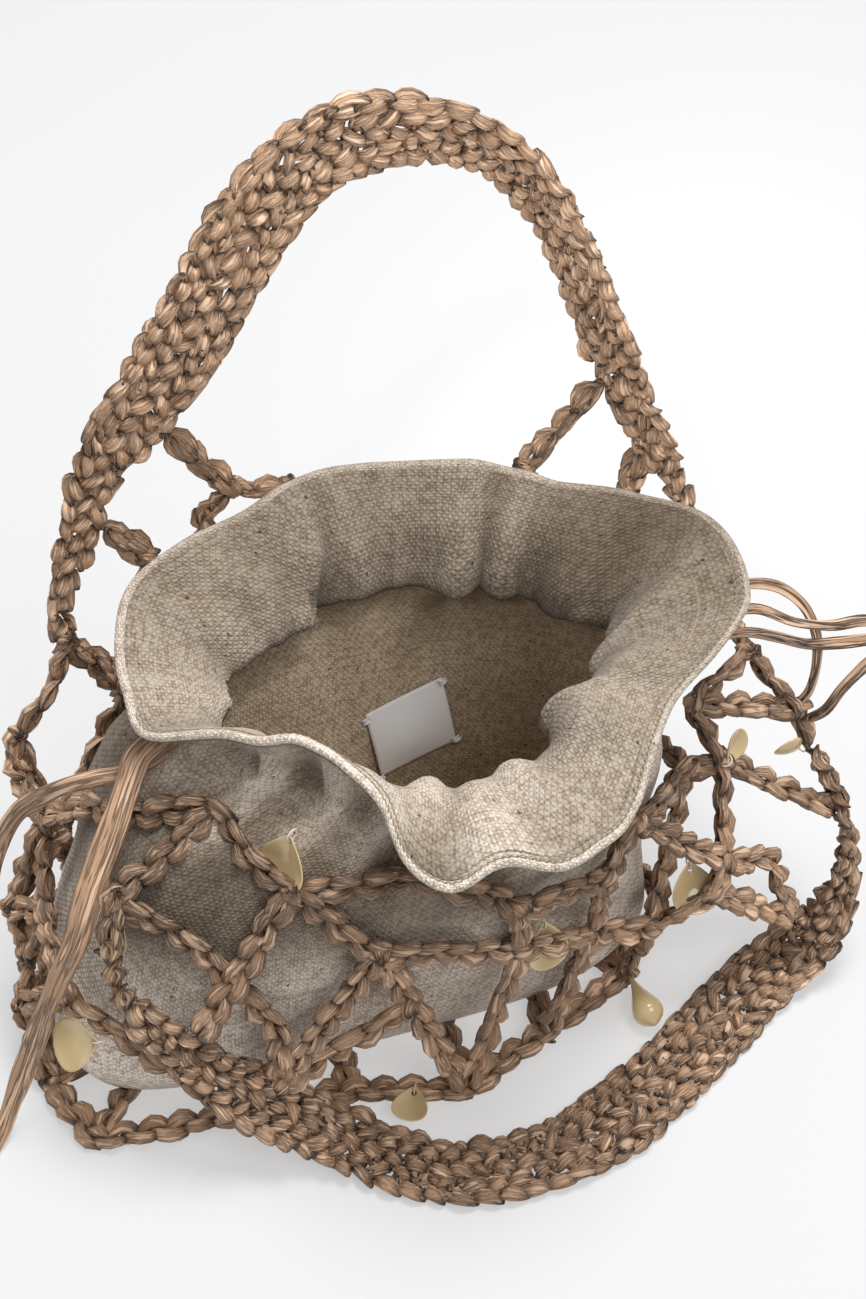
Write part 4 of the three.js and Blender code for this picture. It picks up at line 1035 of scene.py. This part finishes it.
class BAG_OT_pouch(bpy.types.Operator):
    """Make the linen pouch with its gathered neck, flared header, facing and rolled hem"""

    bl_idname = "net_bag.pouch"
    bl_label = "Linen pouch"

    def execute(self, context):
        s = context.scene.bag_pouch
        cloth = linen("washed natural linen", s, OUTSIDE_TINT)
        angle = self.angles()
        rows, lengths = self.outside(angle, 1.0)
        # Painted shade: in folds, under the hem and at the back right.
        tones = self.hollows(rows, 1) * self.under_hem(rows, angle) * self.far_side(angle)
        pouch = self.sheet("pouch_linen", rows, lengths, cloth, tones, rows[WIDEST_ROW])
        pouch.data.materials.append(linen("washed natural linen inside", s, INSIDE_TINT))
        self.thicken(pouch, s.wall).material_offset = 1
        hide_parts("linen_pouch")
        # Painted shade on the header's cloth is lightest on the front flap.
        painted_shade = around_value(HEADER_TONE, 1, np.degrees(angle))
        facing = self.facing(angle, cloth, s, painted_shade)
        hem = self.hem(rows, cloth, s, np.minimum(1.0, HEM_GAIN * painted_shade**HEM_FADE))
        seam = self.seams(rows, s)
        return {"FINISHED"}

    def thicken(self, piece, thickness):
        """Gives a piece of cloth its thickness, inwards."""
        modifier = piece.modifiers.new("cloth thickness", "SOLIDIFY")
        modifier.thickness, modifier.offset = thickness, -1.0
        return modifier

    def angles(self):
        """Angles of the cloth's columns, from the right round by the back and the front."""
        t = np.linspace(0, 2 * np.pi, COLUMNS + 1)
        return np.unwrap(np.arctan2(np.sin(t), COLUMN_STRETCH * np.cos(t)))

    def outside(self, angle, gathered):
        """Rows of the cloth from the middle of the base to the rim, and their walked lengths."""
        rounding = np.linspace(BASE_UP, BASE_ROUND_UP, ROUNDING_ROWS)
        rising = np.concatenate([rounding, np.linspace(WALL_FROM, NECK_UP, WALL_ROWS)])
        flare = np.linspace(HEADER_FROM, 1.0, HEADER_ROWS)
        rows = [self.wall(BASE_UP, angle, size, gathered) for size in BASE_ROWS]
        rows += [self.wall(up, angle, 1.0, gathered) for up in rising]
        rows += [self.header(angle, t, gathered) for t in flare]
        rows = self.wrinkled(np.array(rows), angle)
        step = np.linalg.norm(np.diff(rows, axis=0), axis=2).mean(axis=1)
        return rows, np.concatenate([[0], np.cumsum(step)])

    def wall(self, up, angle, size, gathered):
        """A row of the wall at a height, or of the base at a share of its size."""
        up = np.full_like(angle, up)
        x, y = section_at(up)[:2]
        below = NECK_UP - up
        gather = np.exp(-below / PLEAT_DROP) * (up > BASE_ROUND_UP)
        fine = gathered * self.fine_gathers(angle) * np.exp(-below / FINE_DROP)
        cinch = CINCH_DEPTH * np.exp(-((below / CINCH_SPREAD) ** 2))
        lean = (header_fold(angle, 1) + lapped(angle, 0.0)) * np.exp(-below / LEAN_DROP)
        open_by = mouth_slack(angle) * np.exp(-below / SLACK_DROP)
        drawn_in = wall_reach(up, angle) * size - gather * pleat_depth(angle)
        reach = drawn_in - fine - cinch - lean + open_by
        points = np.stack([x + reach * np.cos(angle), y + reach * np.sin(angle), up], -1)
        return points + self.sag(points)

    def sag(self, points):
        """Cloth that hangs over itself in a fold across the front."""
        x, y, up = np.moveaxis(points, -1, 0)
        along = np.clip((x - SAG_FROM) / (SAG_TO - SAG_FROM), 0, 1)
        line = SAG_UP[0] + (SAG_UP[1] - SAG_UP[0]) * along
        front = np.clip(-y / SAG_BACK, 0, 1) * np.sin(np.pi * along) ** 0.6
        over = np.tanh((up - line) / SAG_EDGE) * np.exp(-(((up - line) / SAG_REACH) ** 2))
        return np.stack([0 * x, -SAG_DEPTH * front * over, 0 * x], -1)

    def fine_gathers(self, angle):
        """Uneven little gathers round the neck."""
        drift = 0.8 * np.sin(3 * angle + 1.0) + 0.5 * np.sin(7 * angle)
        wave = np.sin(FINE_GATHERS * angle / 2 + 2.2 * drift)
        return FINE_DEPTH * (0.6 - np.abs(wave)) * (0.7 + 0.3 * np.sin(5 * angle + 2))

    def header(self, angle, t, gathered):
        """A row of the header, from the neck (0) to the rim (1)."""
        degrees = np.degrees(angle)
        neck = wall_reach(np.full_like(angle, NECK_UP), angle)
        rim = around_value(HEADER_RIM, 1, degrees)
        rim_up = around_value(HEADER_RIM, 2, degrees)
        pull = pleat_depth(angle) * (1 - t) ** HEADER_PLEAT_FADE
        fine = gathered * self.fine_gathers(angle) * (1 - t) ** FINE_FADE
        cinch = CINCH_DEPTH * np.exp(-((t * HEADER_LENGTH / CINCH_SPREAD) ** 2))
        lean = header_fold(angle, 1) * (1 - t) ** FOLD_FADE + lapped(angle, t)
        lift = header_fold(angle, 3) * np.sin(np.pi * t**0.6) ** 1.5
        open_by = mouth_slack(angle) * (1 - t) ** SLACK_FADE
        reach = neck + (rim - neck) * t**HEADER_FLARE - pull - fine - cinch - lean + open_by
        up = NECK_UP + (rim_up - NECK_UP) * t**HEADER_RISE + lift
        return np.stack([NECK_X + reach * np.cos(angle), NECK_Y + reach * np.sin(angle), up], -1)

    def wrinkled(self, rows, angle):
        """Soft creases over the whole cloth, along its own outward direction."""
        flat, shape = rows.reshape(-1, 3), rows.shape[:2]
        slow = wavy(flat * (1, 1, 0.7), SLOW_WAVE[0], 1).reshape(shape)
        quick = wavy(flat * (1, 1, 0.45), QUICK_WAVE[0], 2).reshape(shape)
        pucker = wavy(flat * (1, 1, 0.3), PUCKER[0], 4).reshape(shape)
        round_neck = np.stack([np.cos(angle), np.sin(angle), 0 * angle], -1) * NECK_ROUND
        upright = wavy(round_neck, UPRIGHT_WAVE[0], 3)
        normal = self.frame_rows(rows)
        rise = rows[..., 2]
        above_base = np.clip((rise - CREASE_UP) / CREASE_GROWS, 0, 1)
        by_neck = np.clip((rise - NECK_UP + CREASE_GROWS) / CREASE_GROWS, 0, 1)
        amount = above_base * (SLOW_WAVE[1] * slow + QUICK_WAVE[1] * quick)
        amount += by_neck * UPRIGHT_WAVE[1] * upright
        amount += PUCKER[1] * pucker * np.exp(-(((rise - NECK_UP) / PUCKER_SPREAD) ** 2))
        moved = rows + normal * amount[..., None]
        moved[:, -1] = moved[:, 0]
        for _ in range(RELAX_PASSES):
            ring = moved[:, :-1]
            eased = 0.5 * ring + 0.25 * (np.roll(ring, 1, axis=1) + np.roll(ring, -1, axis=1))
            moved = np.concatenate([eased, eased[:, :1]], axis=1)
        return moved

    def hollows(self, rows, side):
        """Painted shade where the cloth lies back in a fold, painted light on ridges, seen from one
        side.
        """
        reach = np.hypot(rows[..., 0] - NECK_X, rows[..., 1] - NECK_Y)
        near = np.arange(-FOLD_VIEW, FOLD_VIEW + 1) / (0.5 * FOLD_VIEW)
        wide = np.exp(-(near**2))
        before, after = reach[:, -FOLD_VIEW - 1 : -1], reach[:, 1 : FOLD_VIEW + 1]
        around = np.concatenate([before, reach, after], axis=1)
        level = np.array([np.convolve(row, wide / wide.sum(), mode="valid") for row in around])
        return np.clip(1 + FOLD_SHADE * side * (reach - level), *FOLD_TONES)

    def sheet(self, name, rows, lengths, material, tones, true_row):
        """A sheet of cloth from its rows, closed round, its threads even on its true row."""
        count, columns = rows.shape[0] - 1, rows.shape[1] - 1
        tones = np.broadcast_to(tones, rows.shape[:2])
        around = walk(true_row) * MM
        bm = bmesh.new()
        threads = bm.loops.layers.uv.new("threads")
        bmesh.ops.create_grid(bm, x_segments=columns, y_segments=count, size=0.5, calc_uvs=True)
        grid = np.array([v.co for v in bm.verts])
        j = np.rint((grid[:, 0] + 0.5) * columns).astype(int)
        i = np.rint((grid[:, 1] + 0.5) * count).astype(int)
        for face in bm.faces:
            for loop in face.loops:
                k = loop.vert.index
                loop[threads].uv = (around[j[k]], lengths[i[k]] * MM)
        shade = bm.verts.layers.float_color.new("shade")
        # Painted shade grows warmer as it deepens.
        for v, p, tone in zip(bm.verts, rows[i, j], tones[i, j]):
            v.co = p
            v[shade] = (tone, tone**1.08, tone**1.2, 1)
        bmesh.ops.remove_doubles(bm, verts=bm.verts, dist=0.01)
        return piece_from(name, bm, material)

    def frame_rows(self, rows):
        """Outward normals of rows."""
        return unit(np.cross(np.gradient(rows, axis=1), np.gradient(rows, axis=0)))

    def facing(self, angle, cloth, s, painted_shade):
        """The facing inside the header, which stands off the cloth most at the neck."""
        rows, lengths = self.outside(angle, FACING_GATHERED)
        header = rows[FACING_ROWS]
        # Painted shade round the mouth and in the folds.
        tones = painted_shade * self.hollows(header, -1)
        stand = np.exp(-np.arange(len(header)) / FACING_REACH)
        depth = s.wall / MM + FACING_GAP + FACING_STAND * stand
        inner = header - self.frame_rows(header) * depth[:, None, None]
        true_row = inner[FACING_ROW]
        piece = self.sheet("pouch_facing", inner, lengths[FACING_ROWS], cloth, tones, true_row)
        self.thicken(piece, FACING_THICK * MM)
        return piece

    def under_hem(self, rows, angle):
        """Painted shadow under the overhanging hem at the front left, less of it at the neck."""
        facing_left = np.cos(angle - math.radians(UNDER_HEM_WAY))
        corner = (np.mod(np.degrees(angle), 360) - CORNER_WAY) / CORNER_SPREAD
        left = UNDER_HEM_BROAD * np.clip(0.5 + facing_left, 0, 1)
        left = left + CORNER_SHADE * np.exp(-(corner**2))
        shade = smooth_step(rows[..., 2], UNDER_HEM_FROM, UNDER_HEM_TO)
        lit = NECK_LIT * smooth_step(rows[..., 2], NECK_LIT_FROM, NECK_LIT_TO)
        return 1 - UNDER_HEM_SHADE * left * shade * (1 - lit)

    def far_side(self, angle):
        """Painted shade at the back right, which the light from the mouth does not reach."""
        away = turned_from(np.degrees(angle), FAR_WAY)
        return 1 - FAR_SHADE * np.exp(-((away / FAR_SPREAD) ** 2))

    def hem(self, rows, cloth, s, tones):
        """The rolled hem round the rim."""
        rim = rows[-1]
        out = unit(rim - rows[-3])
        normal = self.frame_rows(rows[-3:])[-1]
        half = s.hem / MM / 2
        centre = rim - out * (half - HEM_PAST) - normal * HEM_IN * s.wall / MM
        turns = np.linspace(0, 2 * np.pi, HEM_POINTS)
        roll = [centre + out * half * math.cos(a) - normal * HEM_HALF * math.sin(a) for a in turns]
        return self.sheet("pouch_hem", np.array(roll), turns * HEM_WEAVE, cloth, tones, rim)

    def seams(self, rows, s):
        """Rows of sewing thread along the front of the hem, on both faces of the cloth."""
        rng = np.random.default_rng(5)
        leaf = Leaf(6, 4)
        normal = self.frame_rows(rows[-6:])[-1]
        out = unit(rows[-1] - rows[-4])
        front = slice(COLUMNS // 2, None)
        laid = []
        for offset, lift, inside in SEAM_ROWS:
            lift = lift - inside * s.wall / MM
            run = Run((rows[-1] - out * offset + normal * lift)[front], normal[front])
            at = np.arange(SEAM_PITCH, run.along[-1], SEAM_PITCH)
            thread = leaf_rows(
                len(at), at=at, length=SEAM_PITCH * 1.25, side0=-0.5, side1=0.5, lift_bow=0.15,
                width=1.1, thick=0.8, tone=rng.uniform(0.6, 1.0, len(at)),
            )
            laid.append(lay_leaves(run, leaf, thread, rng))
        mesh = leaves_mesh("pouch_seam_thread", leaf, laid)
        return place_mesh("pouch_seam_thread", mesh, sewing_thread("linen sewing thread", s.seam))


class BAG_OT_net(bpy.types.Operator):
    """Make the crocheted chains of the net"""

    bl_idname = "net_bag.net"
    bl_label = "Raffia net"

    def execute(self, context):
        s = context.scene.bag_raffia
        rng = np.random.default_rng(21)
        leaf = Leaf(7, 6)
        knots = net_knots()
        laid = []
        for stops in net_chains(knots):
            laid += self.chain(stops, s.chain_pitch / MM, leaf, rng)
        for place in self.meeting_knots(knots):
            laid.append(self.knot(place, leaf, rng))
        mesh = leaves_mesh("net_chains", leaf, laid)
        piece = place_mesh("net_chains", mesh, raffia("crocheted paper raffia", s, STITCH_CREASED))
        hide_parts("raffia_net")
        return {"FINISHED"}

    def chain(self, stops, pitch, leaf, rng):
        """A chain of stitches: two arms to a loop, and a bar behind them."""
        route = [stops[0]]
        for a, b in zip(stops, stops[1:]):
            route += [clear_of_pouch((a + b) / 2), b]
        line = route_points(route, 10)
        line[:, 2] = np.maximum(line[:, 2], FLOOR_CHAIN_UP)
        run = Run(line, outward(line))
        count = max(2, round(run.along[-1] / pitch))
        step = run.along[-1] / count
        at = (np.arange(count) + 0.5) * step + rng.normal(0, 0.5, count)
        wobble = 0.35 * np.sin(np.arange(count) * 0.9 + rng.uniform(0, 6))
        spot = run.at(at)[0]
        # Painted shadow of the hem on chains at the front.
        front = np.clip((20 - spot[:, 1]) / 40, 0, 1)
        shade = 1 - front * np.interp(spot[:, 2], CHAIN_SHADE_UP, (0.0, CHAIN_SHADE))
        first, last = 0.6 * step, run.along[-1] - 0.6 * step
        laid = []
        for hand in (-1, 1):
            bigger = rng.normal(1, 0.09, count)
            arms = leaf_rows(
                count, at=np.clip(at + hand * 0.22 * step, first, last),
                length=1.42 * step * bigger,
                side0=-hand * 1.2 + wobble, side1=hand * (1.6 + rng.normal(0, 0.7, count)),
                side_bow=hand * 3.7, lift0=-3.4, lift1=-3.0 + rng.normal(0, 0.5, count),
                lift_bow=5.4 + rng.normal(0, 0.5, count), width=7.8 * bigger, thick=4.6,
                roll=hand * 0.25 + rng.normal(0, 0.16, count),
                twist=hand * rng.normal(0.9, 0.5, count), fold=rng.normal(0.9, 0.6, count),
                tone=shade * rng.uniform(0.6, 1.05, count),
            )
            laid.append(lay_leaves(run, leaf, arms, rng))
        bars = leaf_rows(
            count, at=np.minimum(at + 0.4 * step, last), length=1.3 * step,
            side0=rng.normal(0, 0.8, count), side1=rng.normal(0, 0.8, count),
            side_bow=rng.normal(0, 0.8, count), lift0=-1.6, lift1=-1.6, lift_bow=-1.6, width=6.4,
            thick=4.2, roll=rng.normal(0, 0.3, count), twist=rng.normal(0, 0.6, count),
            tone=shade * rng.uniform(0.5, 0.8, count),
        )
        laid.append(lay_leaves(run, leaf, bars, rng))
        return laid

    def meeting_knots(self, knots):
        """Knots where two or more chains meet."""
        names = " ".join(NET_CHAINS).split()
        return [knots[name] for name in dict.fromkeys(names) if names.count(name) > 1]

    def knot(self, place, leaf, rng):
        """A few leaves wound round a meeting of chains."""
        way = unit(rng.normal(0, 1, 3)) * KNOT_REACH
        line = np.array([place - way, place, place + way])
        line[:, 2] = np.maximum(line[:, 2], FLOOR_CHAIN_UP)
        run = Run(line, np.tile(unit(rng.normal(0, 1, 3)), (3, 1)))
        spin = np.arange(KNOT_LEAVES) * 2 * np.pi / KNOT_LEAVES + rng.uniform(0, 6)
        rows = leaf_rows(
            KNOT_LEAVES, at=KNOT_REACH + rng.normal(0, 1.2, KNOT_LEAVES), length=12.5,
            side0=1.4 * np.cos(spin), side1=1.4 * np.cos(spin + 1.1),
            side_bow=2.6 * np.cos(spin + 0.5), lift0=1.4 * np.sin(spin),
            lift1=1.4 * np.sin(spin + 1.1), lift_bow=2.6 * np.sin(spin + 0.5), width=6.6, thick=4.2,
            roll=spin + np.pi / 2, twist=0.4, tone=rng.uniform(0.6, 0.95, KNOT_LEAVES),
        )
        return lay_leaves(run, leaf, rows, rng)


class BAG_OT_handles(bpy.types.Operator):
    """Make the two crocheted handles"""

    bl_idname = "net_bag.handles"
    bl_label = "Handles"

    def execute(self, context):
        s = context.scene.bag_raffia
        material = raffia("crocheted paper raffia handle", s, STITCH_CREASED)
        # Each handle's tone is painted shade: the lying one is darker.
        for node, stations, face, seed, painted_shade in HANDLES:
            piece = self.band(node, stations, face, seed, painted_shade, s, material)
            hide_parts(node)
        return {"FINISHED"}

    def band(self, node, stations, face, seed, painted_shade, s, material):
        """Rows of stitches on both faces of a band, each row leaning against the next."""
        rng = np.random.default_rng(seed)
        leaf = Leaf(8, 7)
        line = route_points(stations[:, :3], 10)
        place = np.linspace(0, len(stations) - 1, len(line))
        width = np.interp(place, np.arange(len(stations)), stations[:, 3])
        turn = np.radians(np.interp(place, np.arange(len(stations)), stations[:, 4]))
        tangent = unit(np.gradient(line, axis=0))
        across = unit(np.cross(np.array(face, float), tangent))
        up = np.cross(tangent, across)
        across = across * np.cos(turn)[:, None] + up * np.sin(turn)[:, None]
        run = Run(line, np.cross(tangent, across))
        pitch, row_pitch = s.handle_pitch / MM, s.row_pitch / MM
        reach = int(np.ceil(width.max() / row_pitch / 2)) + 1
        laid = []
        for row in range(-reach, reach + 1):
            for layer in (-1, 1):
                offset = (row + (0.5 if layer < 0 else 0.0)) * row_pitch
                at = np.arange(0, run.along[-1], pitch) + (0.5 * pitch if row % 2 else 0.0)
                room = np.interp(at, run.along, width) / 2
                fits = abs(offset) < room - ROW_ROOM * row_pitch
                at, room = at[fits], room[fits]
                n = len(at)
                if n == 0:
                    continue
                inside = 1 - np.clip((abs(offset) / room - EDGE_FROM) / EDGE_BY, 0, 1)
                lean = (1 if row % 2 else -1) * rng.normal(2.2, 1.3, n) * inside
                edge = np.sign(offset) * (1 - inside)
                bigger = rng.normal(1, 0.12, n)
                rows = leaf_rows(
                    n, at=at + rng.normal(0, 0.9, n),
                    length=(1.25 + 0.3 * (1 - inside)) * pitch * bigger,
                    side0=offset - lean - 3.2 * edge, side1=offset + lean - 0.6 * edge,
                    side_bow=1.4 * edge + rng.normal(0, 0.6, n), fold=rng.normal(1.0, 0.9, n),
                    lift0=layer * -2.9, lift1=layer * -2.5,
                    lift_bow=layer * (5.0 + rng.normal(0, 0.4, n)),
                    width=(1.14 if layer > 0 else 1.0) * row_pitch * bigger, thick=4.8,
                    roll=layer * 0.1 + rng.normal(0, 0.35, n), twist=rng.normal(0, 1.1, n),
                    tone=painted_shade * rng.uniform(0.75, 1.25, n),
                )
                laid.append(lay_leaves(run, leaf, rows, rng))
        mesh = leaves_mesh(node + "_crochet", leaf, laid)
        return place_mesh(node + "_crochet", mesh, material)


class BAG_OT_shells(bpy.types.Operator):
    """Make the shell petals and the round shell drop"""

    bl_idname = "net_bag.shells"
    bl_label = "Shell drops"

    def execute(self, context):
        material = polished_shell("polished river shell", context.scene.bag_trim)
        thread = sewing_thread("beige tying thread", context.scene.bag_pouch.light)
        for number, row in enumerate(SHELL_PETALS, 1):
            piece = self.petal(f"shell_{number}", row, material)
            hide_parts(f"shell_petal_{number}")
            self.tie(f"shell_{number}_thread", row, thread)
        drop = self.teardrop("shell_drop", material)
        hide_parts("shell_teardrop")
        return {"FINISHED"}

    def petal(self, name, row, material):
        """A dished petal with a drilled hole by its tip."""
        x, y, z, length, width, dish, heading, pitch, roll = row
        bm = bmesh.new()
        bmesh.ops.create_uvsphere(bm, u_segments=28, v_segments=14, radius=1.0)
        for v in bm.verts:
            size = min(1.0, math.hypot(v.co.x, v.co.y))
            angle = math.atan2(v.co.y, -v.co.x)
            swell = PETAL_FULLNESS * abs(math.sin(angle / 2))
            thick = PETAL_HALF * math.copysign(abs(v.co.z) ** 0.5, v.co.z)
            v.co = (
                -0.5 * length * size * math.cos(angle),
                0.5 * width * size * math.sin(angle) * swell,
                thick + dish * size * size,
            )
        drill = bmesh.new()
        bmesh.ops.create_cone(
            drill, cap_ends=True, segments=14, radius1=HOLE_RADIUS, radius2=HOLE_RADIUS,
            depth=HOLE_DEPTH,
        )
        bmesh.ops.translate(drill, vec=(HOLE_INSET - 0.5 * length, 0, 0), verts=drill.verts)
        self.turn(bm, roll, pitch, heading, (x, y, z))
        self.turn(drill, roll, pitch, heading, (x, y, z))
        piece = piece_from(name, bm, material)
        cutter = piece_from("drill", drill, material)
        cut = piece.modifiers.new("drilled hole", "BOOLEAN")
        cut.operation, cut.solver, cut.object = "DIFFERENCE", "EXACT", cutter
        solid = piece.evaluated_get(bpy.context.evaluated_depsgraph_get())
        piece.data = bpy.data.meshes.new_from_object(solid)
        piece.modifiers.clear()
        bpy.data.objects.remove(cutter)
        return piece

    def tie(self, name, row, material):
        """A loop of thread through the drilled hole."""
        x, y, z, length, _, dish, heading, pitch, roll = row
        upright = Matrix.Rotation(math.pi / 2, 3, "X")
        bm = bmesh.new()
        bmesh.ops.create_circle(bm, segments=8, radius=THREAD_RADIUS)
        bmesh.ops.rotate(bm, cent=(0, 0, 0), matrix=upright, verts=bm.verts)
        bmesh.ops.translate(bm, vec=(LOOP_RADIUS, 0, 0), verts=bm.verts)
        bmesh.ops.spin(
            bm, geom=bm.verts[:] + bm.edges[:], cent=(0, 0, 0), axis=(0, 0, 1),
            angle=2 * math.pi, steps=20, use_merge=True,
        )
        bmesh.ops.recalc_face_normals(bm, faces=bm.faces)
        bmesh.ops.rotate(bm, cent=(0, 0, 0), matrix=upright, verts=bm.verts)
        middle = (HOLE_INSET - LOOP_RADIUS - 0.5 * length, 0, 0.5 * dish)
        bmesh.ops.translate(bm, vec=middle, verts=bm.verts)
        self.turn(bm, roll, pitch, heading, (x, y, z))
        tone = bm.verts.layers.float.new("tone")
        for v in bm.verts:
            v[tone] = THREAD_TONE
        piece_from(name, bm, material)

    def teardrop(self, name, material):
        """A drop turned about its length, with a thin neck and a round bulb."""
        x, y, z, length, radius, heading = TEARDROP
        bm = bmesh.new()
        bmesh.ops.create_uvsphere(bm, u_segments=24, v_segments=18, radius=1.0)
        for v in bm.verts:
            t = (1 - v.co.z) / 2
            around = math.atan2(v.co.y, v.co.x)
            neck = TEARDROP_NECK * math.sqrt(max(0, 1 - v.co.z**2))
            wide = radius * math.sin(math.pi * t**2.5) ** 0.9 + neck
            wide = 0.0 if abs(v.co.z) > 0.9999 else wide
            v.co = (length * t, wide * math.cos(around), wide * math.sin(around))
        bmesh.ops.recalc_face_normals(bm, faces=bm.faces)
        self.turn(bm, 0, 0, heading, (x, y, z))
        return piece_from(name, bm, material)

    def turn(self, bm, roll, pitch, heading, place):
        """Turns a flat shell to how it hangs, and takes it to its place."""
        matrix = (
            Matrix.Translation(place)
            @ Matrix.Rotation(math.radians(heading), 4, "Z")
            @ Matrix.Rotation(math.radians(-pitch), 4, "Y")
            @ Matrix.Rotation(math.radians(roll), 4, "X")
        )
        bmesh.ops.transform(bm, matrix=matrix, verts=bm.verts)


class BAG_OT_label(bpy.types.Operator):
    """Make the bare satin label inside the back wall"""

    bl_idname = "net_bag.label"
    bl_label = "Label"

    def execute(self, context):
        s = context.scene.bag_trim
        width, height, bulge = LABEL[2], LABEL[3], LABEL[5]
        bm = bmesh.new()
        threads = bm.loops.layers.uv.new("threads")
        bmesh.ops.create_grid(
            bm, x_segments=LABEL_CELLS, y_segments=LABEL_CELLS, size=0.5, calc_uvs=True
        )
        for face in bm.faces:
            for loop in face.loops:
                loop[threads].uv = (loop.vert.co.x * width * MM, loop.vert.co.y * height * MM)
        for v in bm.verts:
            u, w = v.co.x, v.co.y
            px, pz = self.spread(u * width, w * height)
            side = 0.4 + 0.6 * math.cos(math.pi * u)
            swell = bulge * math.cos(math.pi * w) * side
            v.co = (px, self.wall_y(px, pz) - LABEL_OFF - swell, pz)
        bmesh.ops.recalc_face_normals(bm, faces=bm.faces)
        piece = piece_from("label_satin", bm, satin_ribbon("grey satin", s.satin))
        thicken = piece.modifiers.new("ribbon thickness", "SOLIDIFY")
        thicken.thickness, thicken.offset = LABEL_THICK * MM, 0.0
        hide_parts("label")
        stitches = self.stitches(s)
        return {"FINISHED"}

    def stitches(self, s):
        """White thread that holds the label at its corners."""
        width, height, tilt = LABEL[2], LABEL[3], math.radians(LABEL[4])
        rng = np.random.default_rng(8)
        leaf = Leaf(6, 4)
        along = np.array((math.cos(tilt), 0, math.sin(tilt))) * STITCH_REACH
        laid = []
        for u, w in LABEL_CORNERS:
            px, pz = self.spread(u * width, w * height)
            middle = np.array((px, self.wall_y(px, pz) - STITCH_OFF, pz))
            line = np.array([middle - along, middle, middle + along])
            run = Run(line, np.tile((0.0, -1.0, 0.3), (3, 1)))
            rows = leaf_rows(
                3, at=STITCH_REACH + rng.normal(0, 0.5, 3), length=6.5, side0=(-1.4, 0.0, 1.4),
                side1=(-0.9, 0.2, 1.6), lift0=-1.0, lift1=-1.0, lift_bow=1.6, width=1.3, thick=1.1,
                tone=1.0,
            )
            laid.append(lay_leaves(run, leaf, rows, rng))
        mesh = leaves_mesh("label_stitches", leaf, laid)
        return place_mesh("label_stitches", mesh, sewing_thread("white sewing thread", s.edge))

    def spread(self, a, b):
        """Where a point of the label lies on the wall. Its sides hang straighter than its tilt."""
        x, up, tilt = LABEL[0], LABEL[1], math.radians(LABEL[4])
        px = x + a * math.cos(tilt) - LABEL_LEAN * b * math.sin(tilt)
        return px, up + a * math.sin(tilt) + LABEL_STRETCH * b * math.cos(tilt)

    def wall_y(self, px, pz):
        """How far back the pouch's wall lies at a place."""
        cx, cy, _, deep = section_at(pz)[:4]
        angle = math.atan2(deep, px - cx)
        for _ in range(4):
            reach = wall_reach(pz, angle)
            angle = math.atan2(reach * math.sin(angle), px - cx)
        return cy + wall_reach(pz, angle) * math.sin(angle)


class BAG_PT_panel(bpy.types.Panel):
    """Lists the pieces of the bag"""

    bl_label = "Net bag"
    bl_idname = "BAG_PT_panel"
    bl_space_type = "VIEW_3D"
    bl_region_type = "UI"
    bl_category = "Net bag"

    def draw(self, context):
        for operator in OPERATORS:
            self.layout.operator(operator.bl_idname)
        for name in SETTINGS:
            group = getattr(context.scene, name)
            box = self.layout.box()
            for key in group.bl_rna.properties.keys():
                if key not in ("rna_type", "name"):
                    box.prop(group, key)


SETTINGS = {
    "bag_pouch": PouchSettings,
    "bag_raffia": RaffiaSettings,
    "bag_trim": TrimSettings,
    "bag_stage": StageSettings,
}
OPERATORS = (
    BAG_OT_stage, BAG_OT_ribbons, BAG_OT_pouch, BAG_OT_net, BAG_OT_handles, BAG_OT_shells,
    BAG_OT_label,
)


def register():
    for cls in (*SETTINGS.values(), *OPERATORS, BAG_PT_panel):
        bpy.utils.register_class(cls)
    for name, cls in SETTINGS.items():
        setattr(bpy.types.Scene, name, bpy.props.PointerProperty(type=cls))


def unregister():
    for name in SETTINGS:
        delattr(bpy.types.Scene, name)
    for cls in (BAG_PT_panel, *reversed(OPERATORS), *SETTINGS.values()):
        bpy.utils.unregister_class(cls)


def main():
    register()
    bpy.ops.net_bag.stage()
    bpy.ops.net_bag.ribbons()
    bpy.ops.net_bag.pouch()
    bpy.ops.net_bag.net()
    bpy.ops.net_bag.handles()
    bpy.ops.net_bag.shells()
    bpy.ops.net_bag.label()


if __name__ == "__main__":
    main()
